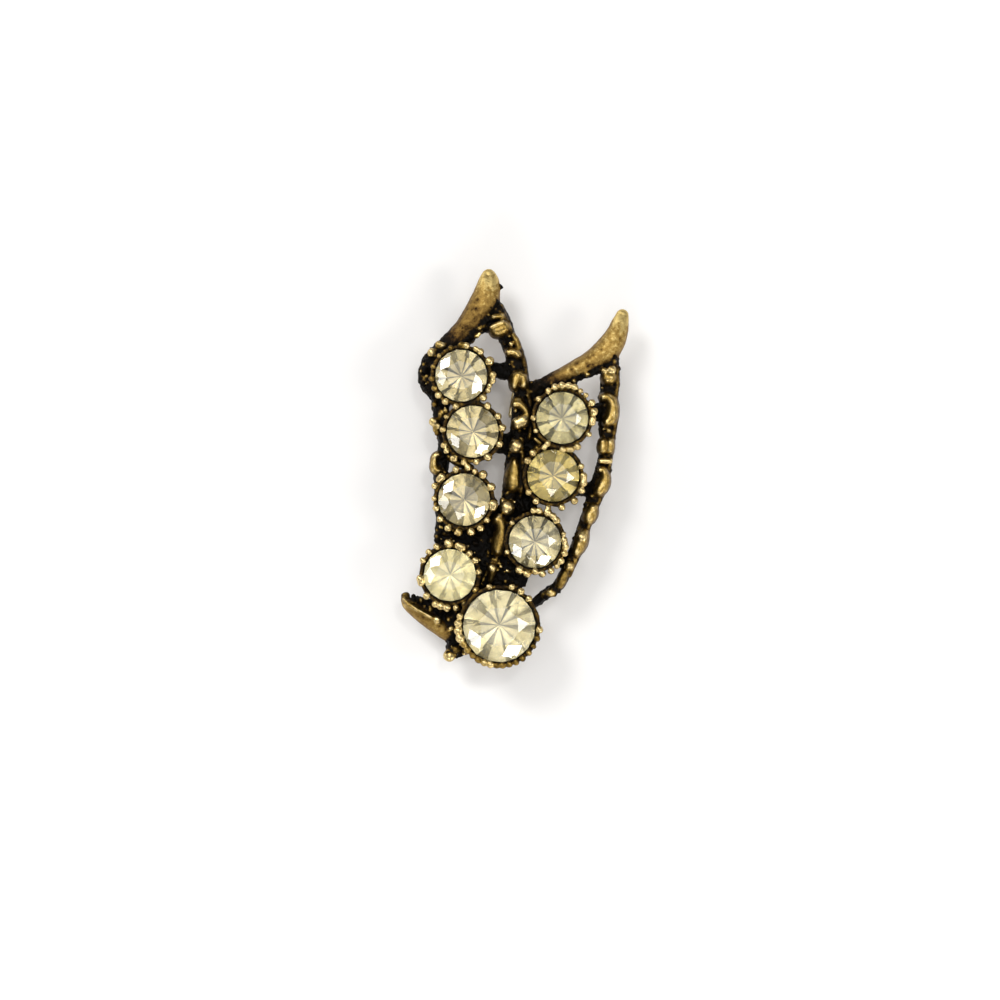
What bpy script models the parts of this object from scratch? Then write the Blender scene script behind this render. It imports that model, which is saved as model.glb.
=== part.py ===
"""A small antique-gold brooch: a cast spray of two wings set with eight round foiled stones, and its pin back.

Metres, +Z up. The spray lies face up on its pin back. Its length runs along Y, horn tips towards +Y, and X runs
across the two wings. The origin is under the middle of the whole brooch, at the height that it rests on.
The plan of the spray is given in shares of PITCH, the distance between two stones that touch in a wing, so the
wings follow the stones that they carry.
"""

import math
from collections import namedtuple

import bmesh
import bpy
from mathutils import Matrix, Vector

MM = 0.001

# Stones: round chatons, all of one cut
STONE_D = 4.7 * MM
LARGE_STONE_D = 6.5 * MM
STONE_GAP = 0.44 * MM
LARGE_GAP_LEFT = 0.76 * MM
LARGE_GAP_RIGHT = 2.58 * MM
TABLE_SHARE = 0.56
CROWN_BREAK_SHARE = 0.82
CROWN_SHARE = 0.17
GIRDLE_SHARE = 0.05
PAVILION_SHARE = 0.42
PAVILION_BREAK_SHARE = 0.55
CUT_SIDES = 8

# Cups that hold the stones
CUP_WALL = 0.36 * MM
CUP_FLOOR = 0.4 * MM
STONE_FIT = 0.12 * MM
CUP_TAPER = 0.94
CUP_SIDES = 18
RING_BEADS = 12
RING_BEAD_D = 0.6 * MM
RING_BEAD_OUT = 0.05 * MM

# Widths and heights of the cast bars, above the back of the casting
HORN_W = 2.3 * MM
HORN_H = 1.75 * MM
RIB_W = 1.55 * MM
RIB_H = 1.6 * MM
EDGE_W = 1.4 * MM
EDGE_H = 1.3 * MM
LEAF_W = 1.6 * MM
LEAF_H = 1.3 * MM
STEM_W = 1.4 * MM
STEM_H = 1.2 * MM
WEB_W = 3.0 * MM
WEB_H = 0.85 * MM
BAR_W = 1.6 * MM
BAR_H = 1.15 * MM

# Raised work on the ribs
RELIEF_W = 1.0 * MM
RELIEF_H = 0.6 * MM
RELIEF_ROOT = 0.7 * MM
GRAIN_D = 1.0 * MM
DROP_STEPS = (0.0, 0.2, 0.5, 0.8, 1.0)
DROP_END_SHARE = 0.35
ARC_END_SHARE = 0.45
ARC_STEP_DEG = 28
LOW_END_SHARE = 0.75

# Pin back: one plain piece, riveted over two studs that are cast on the spray
PLATE_L = 18.0 * MM
PLATE_W = 2.3 * MM
PLATE_T = 0.7 * MM
PLATE_GAP = 0.25 * MM
STAND = 3.4 * MM
FOOT_W = 3.5 * MM
EAR_T = 0.8 * MM
EAR_L = 2.4 * MM
BARREL_D = 1.7 * MM
BARREL_RISE = 0.5 * MM
CATCH_L = 2.0 * MM
SLOT_H = 1.3 * MM
PIN_D = 0.8 * MM
PIN_PAST_CATCH = 1.1 * MM
PIN_POINT = 1.6 * MM
PIN_POINT_SHARE = 0.2
STUD_D = 1.3 * MM
STUD_FIT = 0.15 * MM
STUD_HEAD_D = 2.1 * MM
STUD_HEAD_T = 0.35 * MM
STUD_REACH = 0.5 * MM
STUD_SPACING_SHARE = 0.56

# Spine on the back of the casting, which the studs grow from
SPINE_W = 1.85 * MM
SPINE_SHARE = 0.9

PITCH = STONE_D + STONE_GAP
UNDERCUT = 0.4 * MM
OVERSHOOT = 3.0 * MM

Stone = namedtuple("Stone", "name x y diameter turn_deg")
Section = namedtuple("Section", "x y width height")
Drop = namedtuple("Drop", "x0 y0 x1 y1 width widest")
Arc = namedtuple("Arc", "x y radius from_deg to_deg width")
Grain = namedtuple("Grain", "x y diameter rise")
Bar = namedtuple("Bar", "x0 y0 x1 y1 width")

# Places of the small stones: x and y are shares of PITCH
SMALL_STONES = [
    Stone("stone_1", -0.95, 1.65, STONE_D, 8),
    Stone("stone_2", -0.75, 0.67, STONE_D, 15),
    Stone("stone_3", -0.90, -0.52, STONE_D, 3),
    Stone("stone_4", -1.15, -1.84, STONE_D, 20),
    Stone("stone_5", 0.82, 0.91, STONE_D, 0),
    Stone("stone_6", 0.66, -0.10, STONE_D, 12),
    Stone("stone_7", 0.34, -1.26, STONE_D, 6),
]
LARGE_STONE_TURN = 11

# Bars of the casting, from one end to the other: x and y are shares of PITCH,
# width and height are shares of the bar's own two sizes
LEFT_HORN = [
    Section(-0.48, 3.53, 0.31, 0.45),
    Section(-0.47, 3.35, 0.67, 0.75),
    Section(-0.49, 3.16, 0.90, 0.95),
    Section(-0.57, 2.93, 1.02, 1.05),
    Section(-0.71, 2.72, 0.94, 1.05),
    Section(-0.87, 2.52, 0.81, 1.00),
    Section(-1.06, 2.31, 0.81, 1.00),
    Section(-1.25, 2.12, 0.78, 0.95),
    Section(-1.42, 1.96, 0.78, 0.90),
    Section(-1.52, 1.79, 0.74, 0.85),
    Section(-1.54, 1.61, 0.71, 0.80),
    Section(-1.48, 1.45, 0.63, 0.75),
    Section(-1.39, 1.33, 0.47, 0.60),
]
RIGHT_HORN = [
    Section(1.92, 2.80, 0.35, 0.50),
    Section(1.87, 2.61, 0.59, 0.75),
    Section(1.78, 2.38, 0.78, 0.95),
    Section(1.60, 2.10, 0.94, 1.05),
    Section(1.34, 1.91, 0.82, 1.00),
    Section(1.06, 1.77, 0.71, 1.00),
    Section(0.78, 1.63, 0.63, 0.95),
    Section(0.52, 1.51, 0.59, 0.85),
    Section(0.31, 1.40, 0.55, 0.75),
    Section(0.18, 1.28, 0.39, 0.50),
]
LEFT_RIB = [
    Section(-0.42, 3.00, 0.70, 0.9),
    Section(-0.31, 2.80, 0.93, 1.0),
    Section(-0.22, 2.59, 1.05, 1.0),
    Section(-0.15, 2.35, 1.05, 1.0),
    Section(-0.06, 2.10, 0.99, 1.0),
    Section(0.01, 1.86, 1.05, 1.0),
    Section(0.06, 1.61, 0.99, 1.0),
    Section(0.10, 1.37, 0.87, 1.0),
    Section(0.09, 1.12, 1.05, 1.0),
    Section(0.08, 0.86, 1.10, 1.0),
    Section(0.03, 0.63, 0.93, 1.0),
    Section(0.00, 0.40, 0.93, 1.0),
    Section(-0.04, 0.14, 0.93, 1.0),
    Section(-0.05, -0.12, 1.05, 1.0),
    Section(-0.09, -0.39, 0.93, 1.0),
    Section(-0.14, -0.65, 0.93, 1.0),
    Section(-0.25, -0.93, 1.10, 1.0),
    Section(-0.28, -1.23, 1.10, 1.0),
    Section(-0.33, -1.51, 0.87, 1.0),
    Section(-0.39, -1.75, 0.70, 0.9),
    Section(-0.43, -2.00, 0.52, 0.7),
]
RIGHT_RIB = [
    Section(1.69, 2.07, 0.81, 0.90),
    Section(1.67, 1.79, 1.10, 1.00),
    Section(1.67, 1.58, 1.16, 1.00),
    Section(1.65, 1.37, 1.05, 1.00),
    Section(1.63, 1.12, 1.10, 1.00),
    Section(1.63, 0.86, 1.10, 1.00),
    Section(1.62, 0.60, 0.99, 1.00),
    Section(1.60, 0.33, 0.91, 1.00),
    Section(1.56, 0.07, 0.91, 1.00),
    Section(1.49, -0.19, 0.99, 1.00),
    Section(1.39, -0.47, 0.93, 1.00),
    Section(1.30, -0.74, 0.81, 1.00),
    Section(1.20, -1.02, 0.76, 1.00),
    Section(1.10, -1.31, 0.76, 1.00),
    Section(0.99, -1.58, 0.76, 1.00),
    Section(0.87, -1.84, 0.70, 0.95),
    Section(0.73, -2.05, 0.64, 0.90),
    Section(0.55, -2.21, 0.52, 0.70),
]
LEFT_EDGE = [
    Section(-1.45, 1.44, 0.90, 0.9),
    Section(-1.32, 1.17, 1.16, 1.0),
    Section(-1.31, 0.93, 1.09, 1.0),
    Section(-1.27, 0.67, 0.97, 1.0),
    Section(-1.25, 0.39, 0.90, 1.0),
    Section(-1.31, 0.11, 1.03, 1.0),
    Section(-1.32, -0.19, 0.90, 1.0),
    Section(-1.32, -0.53, 0.77, 1.0),
    Section(-1.29, -0.88, 0.90, 1.0),
    Section(-1.24, -1.19, 1.42, 0.9),
    Section(-1.17, -1.51, 1.16, 0.8),
]
LEAF = [
    Section(-1.99, -2.24, 0.28, 0.40),
    Section(-1.92, -2.33, 0.62, 0.70),
    Section(-1.76, -2.45, 0.90, 0.95),
    Section(-1.57, -2.59, 1.01, 1.00),
    Section(-1.38, -2.73, 1.01, 1.00),
    Section(-1.20, -2.87, 0.90, 0.90),
    Section(-1.06, -2.98, 0.56, 0.70),
]
STEM = [
    Section(-1.03, -2.42, 1.16, 1.0),
    Section(-1.08, -2.77, 1.03, 1.0),
    Section(-1.11, -3.03, 0.90, 0.9),
    Section(-1.15, -3.24, 0.64, 0.7),
]

# Low webs between the bars and the cups, in the same way
CHANNEL_WEB = [
    Section(0.20, 1.52, 0.42, 1.0),
    Section(0.27, 1.30, 0.72, 1.0),
    Section(0.27, 0.88, 0.78, 1.0),
    Section(0.20, 0.35, 0.81, 1.0),
    Section(0.13, -0.18, 0.84, 1.0),
    Section(0.08, -0.70, 1.02, 1.0),
    Section(0.03, -1.14, 1.20, 1.0),
    Section(-0.06, -1.58, 1.26, 1.0),
    Section(-0.17, -2.10, 1.20, 1.0),
]
SPRAY_WEB = [
    Section(-0.45, -0.54, 0.48, 1.05),
    Section(-0.59, -0.79, 1.08, 1.05),
    Section(-0.66, -1.05, 1.92, 1.05),
    Section(-0.66, -1.40, 2.04, 1.05),
    Section(-0.55, -1.79, 1.44, 1.05),
    Section(-0.55, -2.14, 1.32, 1.05),
    Section(-0.73, -2.49, 1.44, 1.05),
    Section(-0.90, -2.87, 1.08, 1.05),
    Section(-1.01, -3.19, 0.48, 1.05),
]
LEAF_WEB = [
    Section(-1.80, -2.28, 0.24, 0.9),
    Section(-1.59, -2.38, 0.48, 0.9),
    Section(-1.36, -2.49, 0.60, 0.9),
    Section(-1.11, -2.66, 0.84, 0.9),
]
SHOULDER_WEB = [
    Section(0.25, 1.37, 0.48, 0.95),
    Section(0.57, 1.38, 0.48, 0.95),
    Section(0.89, 1.47, 0.42, 0.95),
    Section(1.06, 1.58, 0.24, 0.95),
]

# Cross bars: ends as shares of PITCH, width as a share of BAR_W
CROSS_BARS = [
    Bar(-0.55, 1.79, 0.06, 1.70, 1.0),
    Bar(-0.45, 0.47, 0.05, 0.47, 1.25),
    Bar(1.10, 1.02, 1.60, 1.02, 1.0),
    Bar(0.95, -0.28, 1.48, -0.39, 0.9),
    Bar(0.65, -1.55, 1.04, -1.62, 1.0),
    Bar(0.15, -2.48, 0.68, -2.08, 0.6),
]

# Raised work. Drops run between two points; widest is where, as a share of the run, they swell the most
DROPS = [
    Drop(-0.44, 2.38, -0.12, 2.53, 1.10, 0.5),
    Drop(-0.03, 2.37, 0.07, 2.10, 0.40, 0.5),
    Drop(0.06, 1.74, 0.06, 1.39, 1.20, 0.5),
    Drop(-0.04, 0.25, -0.08, -0.42, 1.00, 0.7),
    Drop(0.10, 0.50, 0.08, -0.42, 0.35, 0.5),
    Drop(-0.25, -0.84, -0.29, -1.53, 1.10, 0.35),
    Drop(-0.40, -1.70, -0.43, -1.97, 0.45, 0.2),
    Drop(1.60, 0.54, 1.60, 0.24, 1.15, 0.5),
    Drop(1.48, 0.17, 1.69, 0.16, 0.45, 0.5),
    Drop(1.32, -0.64, 1.24, -0.99, 0.75, 0.4),
    Drop(1.18, -1.06, 1.07, -1.50, 0.80, 0.6),
    Drop(0.89, -1.74, 0.76, -2.10, 0.70, 0.4),
    Drop(0.31, 0.35, 0.52, 0.41, 0.50, 0.5),
]
ARCS = [
    Arc(-0.07, 1.95, 0.14, 15, 165, 0.50),
    Arc(-0.04, 0.95, 0.21, 105, -20, 0.60),
    Arc(1.53, 1.04, 0.22, 115, -85, 0.65),
    Arc(1.43, -0.23, 0.18, 80, -80, 0.65),
    Arc(-1.29, 0.11, 0.15, 80, 270, 0.55),
]
GRAINS = [
    Grain(-0.24, 2.68, 0.75, 0.95),
    Grain(-0.08, 2.23, 0.65, 0.95),
    Grain(0.10, 0.83, 1.15, 1.00),
    Grain(0.00, 0.42, 1.00, 1.00),
    Grain(-0.14, -0.64, 1.15, 1.00),
    Grain(-0.41, -1.72, 0.75, 0.95),
    Grain(1.67, 1.63, 1.45, 0.95),
    Grain(1.17, -1.17, 0.85, 1.15),
    Grain(0.96, -1.67, 0.80, 1.00),
    Grain(0.62, -2.16, 0.85, 0.85),
    Grain(-1.40, 0.83, 0.85, 0.75),
    Grain(-1.17, -3.28, 1.05, 0.55),
    Grain(-1.04, -3.17, 0.80, 0.65),
    Grain(0.30, 0.16, 0.60, 0.65),
    Grain(0.24, -0.39, 0.60, 0.65),
    Grain(0.33, -0.55, 0.60, 0.65),
]

# The pin back's middle, as shares of PITCH, and its lean from Y, on the line of the cast spine
PLATE_X = -0.01
PLATE_Y = -0.37
PLATE_LEAN_DEG = -9.7

# Half of a section, from its foot to its crest: across and up, as shares
ROUND_SECTION = [(1.0, 0.0), (1.0, 0.55), (0.68, 0.88), (0.0, 1.0)]
FLAT_SECTION = [(1.0, 0.0), (0.95, 1.0)]
RELIEF_SECTION = [(1.0, 0.0), (0.8, 0.7), (0.0, 1.0)]


def clear_scene():
    for old in list(bpy.data.objects):
        bpy.data.objects.remove(old, do_unlink=True)


def collection(name, hidden=False):
    made = bpy.data.collections.new(name)
    made.hide_render = hidden
    bpy.context.scene.collection.children.link(made)
    return made


def material(name, color, roughness, metallic):
    made = bpy.data.materials.new(name)
    made.use_nodes = True
    shader = made.node_tree.nodes["Principled BSDF"]
    shader.inputs["Base Color"].default_value = (*color, 1.0)
    shader.inputs["Roughness"].default_value = roughness
    shader.inputs["Metallic"].default_value = metallic
    return made


def add_object(name, bm, group, root, finish=None):
    """Turns the bmesh into an object of the group, under the brooch's empty."""
    bmesh.ops.recalc_face_normals(bm, faces=bm.faces)
    mesh = bpy.data.meshes.new(name)
    bm.to_mesh(mesh)
    bm.free()
    made = bpy.data.objects.new(name, mesh)
    made.parent = root
    group.objects.link(made)
    if finish:
        mesh.materials.append(finish)
    else:
        made.hide_render = True
        made.display_type = "WIRE"
    return made


def plan(x, y, z=0.0):
    """A place in the brooch's plan, from shares of PITCH."""
    return Vector((x * PITCH, y * PITCH, z))


def loft_mesh(rows, width, height, base=-UNDERCUT, half=ROUND_SECTION):
    """A bar with a flat foot, lofted through sections that stand square to its run."""
    bm = bmesh.new()
    outline = half + [(-across, up) for across, up in reversed(half) if across > 0]
    centres = [plan(row.x, row.y) for row in rows]
    rings = []
    for place, row in enumerate(rows):
        before = centres[max(place - 1, 0)]
        after = centres[min(place + 1, len(rows) - 1)]
        run = (after - before).normalized()
        square = Vector((run.y, -run.x, 0.0))
        top = row.height * height
        ring = []
        for across, up in outline:
            side = square * (across * row.width * width / 2)
            rise = Vector((0.0, 0.0, base + up * (top - base)))
            ring.append(bm.verts.new(centres[place] + side + rise))
        rings.append(ring)
    for first, second in zip(rings, rings[1:]):
        for corner in range(len(outline)):
            following = (corner + 1) % len(outline)
            bm.faces.new((first[corner], first[following], second[following], second[corner]))
    bm.faces.new(rings[0])
    bm.faces.new(list(reversed(rings[-1])))
    return bm


def drop_rows(drop):
    """Sections of a drop: thin at both ends and swollen at its widest place."""
    rows = []
    for share in DROP_STEPS:
        bent = share ** (math.log(0.5) / math.log(drop.widest))
        swell = DROP_END_SHARE + (1 - DROP_END_SHARE) * math.sin(math.pi * bent)
        x = drop.x0 + (drop.x1 - drop.x0) * share
        y = drop.y0 + (drop.y1 - drop.y0) * share
        rows.append(Section(x, y, drop.width * swell, LOW_END_SHARE + (1 - LOW_END_SHARE) * swell))
    return rows


def arc_rows(arc):
    """Sections of a scroll: a round arc that thins towards both ends."""
    rows = []
    steps = round(abs(arc.to_deg - arc.from_deg) / ARC_STEP_DEG)
    for step in range(steps + 1):
        share = step / steps
        angle = math.radians(arc.from_deg + (arc.to_deg - arc.from_deg) * share)
        swell = ARC_END_SHARE + (1 - ARC_END_SHARE) * math.sin(math.pi * share)
        x = arc.x + arc.radius * math.cos(angle)
        y = arc.y + arc.radius * math.sin(angle)
        rows.append(Section(x, y, arc.width * swell, LOW_END_SHARE + (1 - LOW_END_SHARE) * swell))
    return rows


def turned(name, profile, sides, group, root):
    """A profile of (radius, height) turned about Z, listed down its outer side."""
    bm = bmesh.new()
    corners = [bm.verts.new((radius, 0.0, height)) for radius, height in profile]
    for upper, lower in zip(corners, corners[1:]):
        bm.edges.new((upper, lower))
    mesh = bpy.data.meshes.new(name)
    bm.to_mesh(mesh)
    bm.free()
    made = bpy.data.objects.new(name, mesh)
    made.parent = root
    made.hide_render = True
    made.display_type = "WIRE"
    group.objects.link(made)
    screw = made.modifiers.new("turn", "SCREW")
    screw.axis = "Z"
    screw.steps = sides
    screw.render_steps = sides
    screw.use_merge_vertices = True
    screw.merge_threshold = 0.000001
    screw.use_normal_calculate = True
    return made


def combine(target, operation, operand):
    """Adds a Boolean with one object or with all the objects of a collection.

    MANIFOLD holds where the many small forms of the casting cross, and EXACT can fail there."""
    step = target.modifiers.new(operation.lower(), "BOOLEAN")
    step.solver = "MANIFOLD"
    step.operation = operation
    if isinstance(operand, bpy.types.Collection):
        step.operand_type = "COLLECTION"
        step.collection = operand
    else:
        step.object = operand


def seat_height(diameter):
    """Height of a stone's girdle foot above the back of the casting."""
    return CUP_FLOOR + STONE_FIT + PAVILION_SHARE * diameter


def rim_height(diameter):
    return seat_height(diameter) + GIRDLE_SHARE * diameter


def large_stone_place():
    """Where the large stone lies: at its own gaps from stone_4 and stone_7, below both."""
    left = plan(SMALL_STONES[3].x, SMALL_STONES[3].y)
    right = plan(SMALL_STONES[6].x, SMALL_STONES[6].y)
    reach = (STONE_D + LARGE_STONE_D) / 2
    from_left = reach + LARGE_GAP_LEFT
    from_right = reach + LARGE_GAP_RIGHT
    span = (right - left).length
    along = (span**2 + from_left**2 - from_right**2) / (2 * span)
    down = math.sqrt(from_left**2 - along**2)
    run = (right - left).normalized()
    return left + run * along + Vector((run.y, -run.x, 0.0)) * down


def all_stones():
    large = large_stone_place() / PITCH
    return SMALL_STONES + [Stone("large_stone", large.x, large.y, LARGE_STONE_D, LARGE_STONE_TURN)]


def ring_of(radius, height, count, first_deg):
    """Points at even angles round Z."""
    points = []
    for place in range(count):
        angle = math.radians(first_deg + 360 * place / count)
        points.append(Vector((radius * math.cos(angle), radius * math.sin(angle), height)))
    return points


def build_stone(stone, group, root, finish):
    """A round cut stone: table, stars, kites and breaks above the girdle, kites and breaks down to the culet."""
    radius = stone.diameter / 2
    crown = CROWN_SHARE * stone.diameter
    girdle = GIRDLE_SHARE * stone.diameter
    pavilion = PAVILION_SHARE * stone.diameter
    half_turn = 180 / CUT_SIDES
    to_middle = math.cos(math.radians(half_turn))
    crown_run = (CROWN_BREAK_SHARE * to_middle - TABLE_SHARE) / (1 - TABLE_SHARE)
    pavilion_run = PAVILION_BREAK_SHARE * to_middle
    points = ring_of(TABLE_SHARE * radius, girdle + crown, CUT_SIDES, 0)
    points += ring_of(CROWN_BREAK_SHARE * radius, girdle + crown * (1 - crown_run), CUT_SIDES, half_turn)
    points += ring_of(radius, girdle, 2 * CUT_SIDES, 0)
    points += ring_of(radius, 0.0, 2 * CUT_SIDES, 0)
    points += ring_of(PAVILION_BREAK_SHARE * radius, -pavilion * (1 - pavilion_run), CUT_SIDES, half_turn)
    points.append(Vector((0.0, 0.0, -pavilion)))
    bm = bmesh.new()
    for point in points:
        bm.verts.new(point)
    bmesh.ops.convex_hull(bm, input=bm.verts)
    made = add_object(stone.name, bm, group, root, finish)
    made.location = plan(stone.x, stone.y, seat_height(stone.diameter))
    made.rotation_euler = (0.0, 0.0, math.radians(stone.turn_deg))


def build_cup(stone, group, root):
    """A solid cup blank, which the stone's pocket hollows out later."""
    outer = stone.diameter / 2 + STONE_FIT + CUP_WALL
    height = rim_height(stone.diameter) + UNDERCUT
    bm = bmesh.new()
    lift = Matrix.Translation((0.0, 0.0, height / 2 - UNDERCUT))
    bmesh.ops.create_cone(
        bm,
        cap_ends=True,
        segments=CUP_SIDES,
        radius1=outer * CUP_TAPER,
        radius2=outer,
        depth=height,
        matrix=lift,
    )
    made = add_object(f"cup_{stone.name}", bm, group, root)
    made.location = plan(stone.x, stone.y)


def build_bead_ring(stone, stones, group, root):
    """The beads round one cup's rim, left out where a neighbouring stone lies."""
    out = stone.diameter / 2 + STONE_FIT + CUP_WALL / 2 + RING_BEAD_OUT
    count = round(RING_BEADS * stone.diameter / STONE_D)
    centre = plan(stone.x, stone.y)
    bm = bmesh.new()
    for point in ring_of(out, rim_height(stone.diameter), count, stone.turn_deg):
        blocked = False
        for other in stones:
            if other is stone:
                continue
            away = (plan(other.x, other.y) - centre - Vector((point.x, point.y, 0.0))).length
            blocked = blocked or away < other.diameter / 2 + STONE_FIT + RING_BEAD_D / 2
        if not blocked:
            spot = Matrix.Translation(point)
            bmesh.ops.create_icosphere(bm, subdivisions=1, radius=RING_BEAD_D / 2, matrix=spot)
    made = add_object(f"beads_{stone.name}", bm, group, root)
    made.location = centre


def build_pocket(stone, group, root):
    """The hollow that a stone drops into, larger than the stone by its fit on every side."""
    steepness = math.atan(PAVILION_SHARE * 2)
    radius = (stone.diameter / 2 + STONE_FIT) / math.cos(math.pi / CUP_SIDES)
    seat = seat_height(stone.diameter) - STONE_FIT * math.tan(steepness / 2)
    foot = STONE_FIT / math.sin(steepness) * 2
    top = rim_height(stone.diameter) + OVERSHOOT
    profile = [(0.0, top), (radius, top), (radius, seat), (foot, CUP_FLOOR), (0.0, CUP_FLOOR)]
    made = turned(f"pocket_{stone.name}", profile, CUP_SIDES, group, root)
    made.location = plan(stone.x, stone.y)


def build_bars(group, root):
    bars = {
        "left_horn": (LEFT_HORN, HORN_W, HORN_H),
        "right_horn": (RIGHT_HORN, HORN_W, HORN_H),
        "left_rib": (LEFT_RIB, RIB_W, RIB_H),
        "right_rib": (RIGHT_RIB, RIB_W, RIB_H),
        "left_edge": (LEFT_EDGE, EDGE_W, EDGE_H),
        "leaf": (LEAF, LEAF_W, LEAF_H),
        "stem": (STEM, STEM_W, STEM_H),
    }
    for name, (rows, width, height) in bars.items():
        add_object(name, loft_mesh(rows, width, height), group, root)
    webs = {"channel": CHANNEL_WEB, "spray": SPRAY_WEB, "leaf": LEAF_WEB, "shoulder": SHOULDER_WEB}
    for name, rows in webs.items():
        add_object(f"web_{name}", loft_mesh(rows, WEB_W, WEB_H, half=FLAT_SECTION), group, root)
    for number, bar in enumerate(CROSS_BARS, 1):
        rows = [Section(bar.x0, bar.y0, bar.width, 1.0), Section(bar.x1, bar.y1, bar.width, 1.0)]
        add_object(f"cross_bar_{number}", loft_mesh(rows, BAR_W, BAR_H), group, root)


def build_relief(group, root):
    """Drops, scrolls and beads that stand up from the ribs, rooted inside them."""
    top = RIB_H + RELIEF_H
    for number, drop in enumerate(DROPS, 1):
        shape = loft_mesh(drop_rows(drop), RELIEF_W, top, RELIEF_ROOT, RELIEF_SECTION)
        add_object(f"drop_{number}", shape, group, root)
    for number, arc in enumerate(ARCS, 1):
        shape = loft_mesh(arc_rows(arc), RELIEF_W, top, RELIEF_ROOT, RELIEF_SECTION)
        add_object(f"scroll_{number}", shape, group, root)
    for number, grain in enumerate(GRAINS, 1):
        radius = grain.diameter * GRAIN_D / 2
        bm = bmesh.new()
        bmesh.ops.create_uvsphere(bm, u_segments=8, v_segments=5, radius=radius)
        made = add_object(f"grain_{number}", bm, group, root)
        made.location = plan(grain.x, grain.y, grain.rise * top - radius)


def on_plate_line(made):
    """Places an object that was made about the plate's middle, with Y along the plate."""
    made.location = plan(PLATE_X, PLATE_Y)
    made.rotation_euler = (0.0, 0.0, math.radians(PLATE_LEAN_DEG))
    return made


def stud_places():
    reach = STUD_SPACING_SHARE * PLATE_L / 2
    return [Vector((0.0, side * reach, 0.0)) for side in (-1, 1)]


def add_cylinder(bm, radius, low, high, spot, sides=16):
    middle = Matrix.Translation(spot + Vector((0.0, 0.0, (low + high) / 2)))
    bmesh.ops.create_cone(
        bm, cap_ends=True, segments=sides, radius1=radius, radius2=radius, depth=high - low, matrix=middle
    )


def build_studs(shank_group, head_group, root):
    """Two studs on the back that pass through the plate, with heads spread below it."""
    head_top = -(PLATE_GAP + PLATE_T + STUD_FIT)
    for number, spot in enumerate(stud_places(), 1):
        shank = bmesh.new()
        add_cylinder(shank, STUD_D / 2, head_top - STUD_HEAD_T / 2, STUD_REACH, spot)
        on_plate_line(add_object(f"stud_{number}", shank, shank_group, root))
        head = bmesh.new()
        add_cylinder(head, STUD_HEAD_D / 2, head_top - STUD_HEAD_T, head_top, spot)
        on_plate_line(add_object(f"stud_head_{number}", head, head_group, root))


def add_block(bm, size, middle):
    block = bmesh.ops.create_cube(bm, size=1.0)
    bmesh.ops.scale(bm, vec=size, verts=block["verts"])
    bmesh.ops.translate(bm, vec=middle, verts=block["verts"])


def build_pin_back(parts, forms, cuts, wire_group, root, finish):
    """Plate, two ears with a barrel, pin stem and catch, all in one plain piece."""
    top = -PLATE_GAP
    foot = top - STAND
    low = top - PLATE_T / 2
    half = PLATE_L / 2
    barrel_z = foot + BARREL_RISE + BARREL_D / 2
    ear_y = half - EAR_L / 2
    catch_y = -(half - CATCH_L / 2)
    plate = bmesh.new()
    add_block(plate, Vector((PLATE_W, PLATE_L, PLATE_T)), Vector((0.0, 0.0, top - PLATE_T / 2)))
    made = on_plate_line(add_object("pin_back", plate, parts, root, finish))
    for side in (-1, 1):
        ear = bmesh.new()
        size = Vector((EAR_T, EAR_L, low - foot))
        add_block(ear, size, Vector((side * (FOOT_W - EAR_T) / 2, ear_y, (low + foot) / 2)))
        on_plate_line(add_object(f"ear_{side}", ear, forms, root))
    shoulder = bmesh.new()
    add_block(shoulder, Vector((FOOT_W, EAR_L, PLATE_T)), Vector((0.0, ear_y, low - PLATE_T / 4)))
    on_plate_line(add_object("shoulder", shoulder, forms, root))
    barrel = bmesh.new()
    sideways = Matrix.Translation((0.0, ear_y, barrel_z)) @ Matrix.Rotation(math.pi / 2, 4, "Y")
    bmesh.ops.create_cone(
        barrel,
        cap_ends=True,
        segments=12,
        radius1=BARREL_D / 2,
        radius2=BARREL_D / 2,
        depth=FOOT_W - EAR_T,
        matrix=sideways,
    )
    on_plate_line(add_object("barrel", barrel, forms, root))
    catch = bmesh.new()
    add_block(catch, Vector((FOOT_W, CATCH_L, low - foot)), Vector((0.0, catch_y, (low + foot) / 2)))
    on_plate_line(add_object("catch", catch, forms, root))
    slot = bmesh.new()
    slot_w = FOOT_W / 2 + PIN_D
    add_block(slot, Vector((slot_w, 2 * CATCH_L, SLOT_H)), Vector((slot_w / 2 - PIN_D, catch_y, barrel_z)))
    on_plate_line(add_object("slot", slot, cuts, root))
    for number, spot in enumerate(stud_places(), 1):
        hole = bmesh.new()
        add_cylinder(hole, STUD_D / 2 + STUD_FIT, top - 2 * PLATE_T, top + PLATE_T, spot)
        on_plate_line(add_object(f"stud_hole_{number}", hole, cuts, root))
    stem = build_stem(ear_y, catch_y, barrel_z, wire_group, root)
    combine(made, "UNION", forms)
    combine(made, "DIFFERENCE", cuts)
    combine(made, "UNION", stem)


def build_stem(ear_y, catch_y, height, group, root):
    """The pin itself: a wire from the barrel through the catch's slot, drawn out to a point."""
    end = catch_y - CATCH_L / 2 - PIN_PAST_CATCH
    point = end + PIN_POINT
    length = ear_y - point
    turn = Matrix.Rotation(math.pi / 2, 4, "X")
    bm = bmesh.new()
    wire = Matrix.Translation((0.0, point + length / 2, height)) @ turn
    bmesh.ops.create_cone(
        bm, cap_ends=True, segments=10, radius1=PIN_D / 2, radius2=PIN_D / 2, depth=length, matrix=wire
    )
    tip = [face for face in bm.faces if face.normal.y < -0.5]
    drawn = bmesh.ops.extrude_discrete_faces(bm, faces=tip)
    corners = {corner for face in drawn["faces"] for corner in face.verts}
    for corner in corners:
        drop = (corner.co.z - height) * PIN_POINT_SHARE
        corner.co = Vector((corner.co.x * PIN_POINT_SHARE, end, height + drop))
    return on_plate_line(add_object("pin_stem", bm, group, root))


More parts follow.
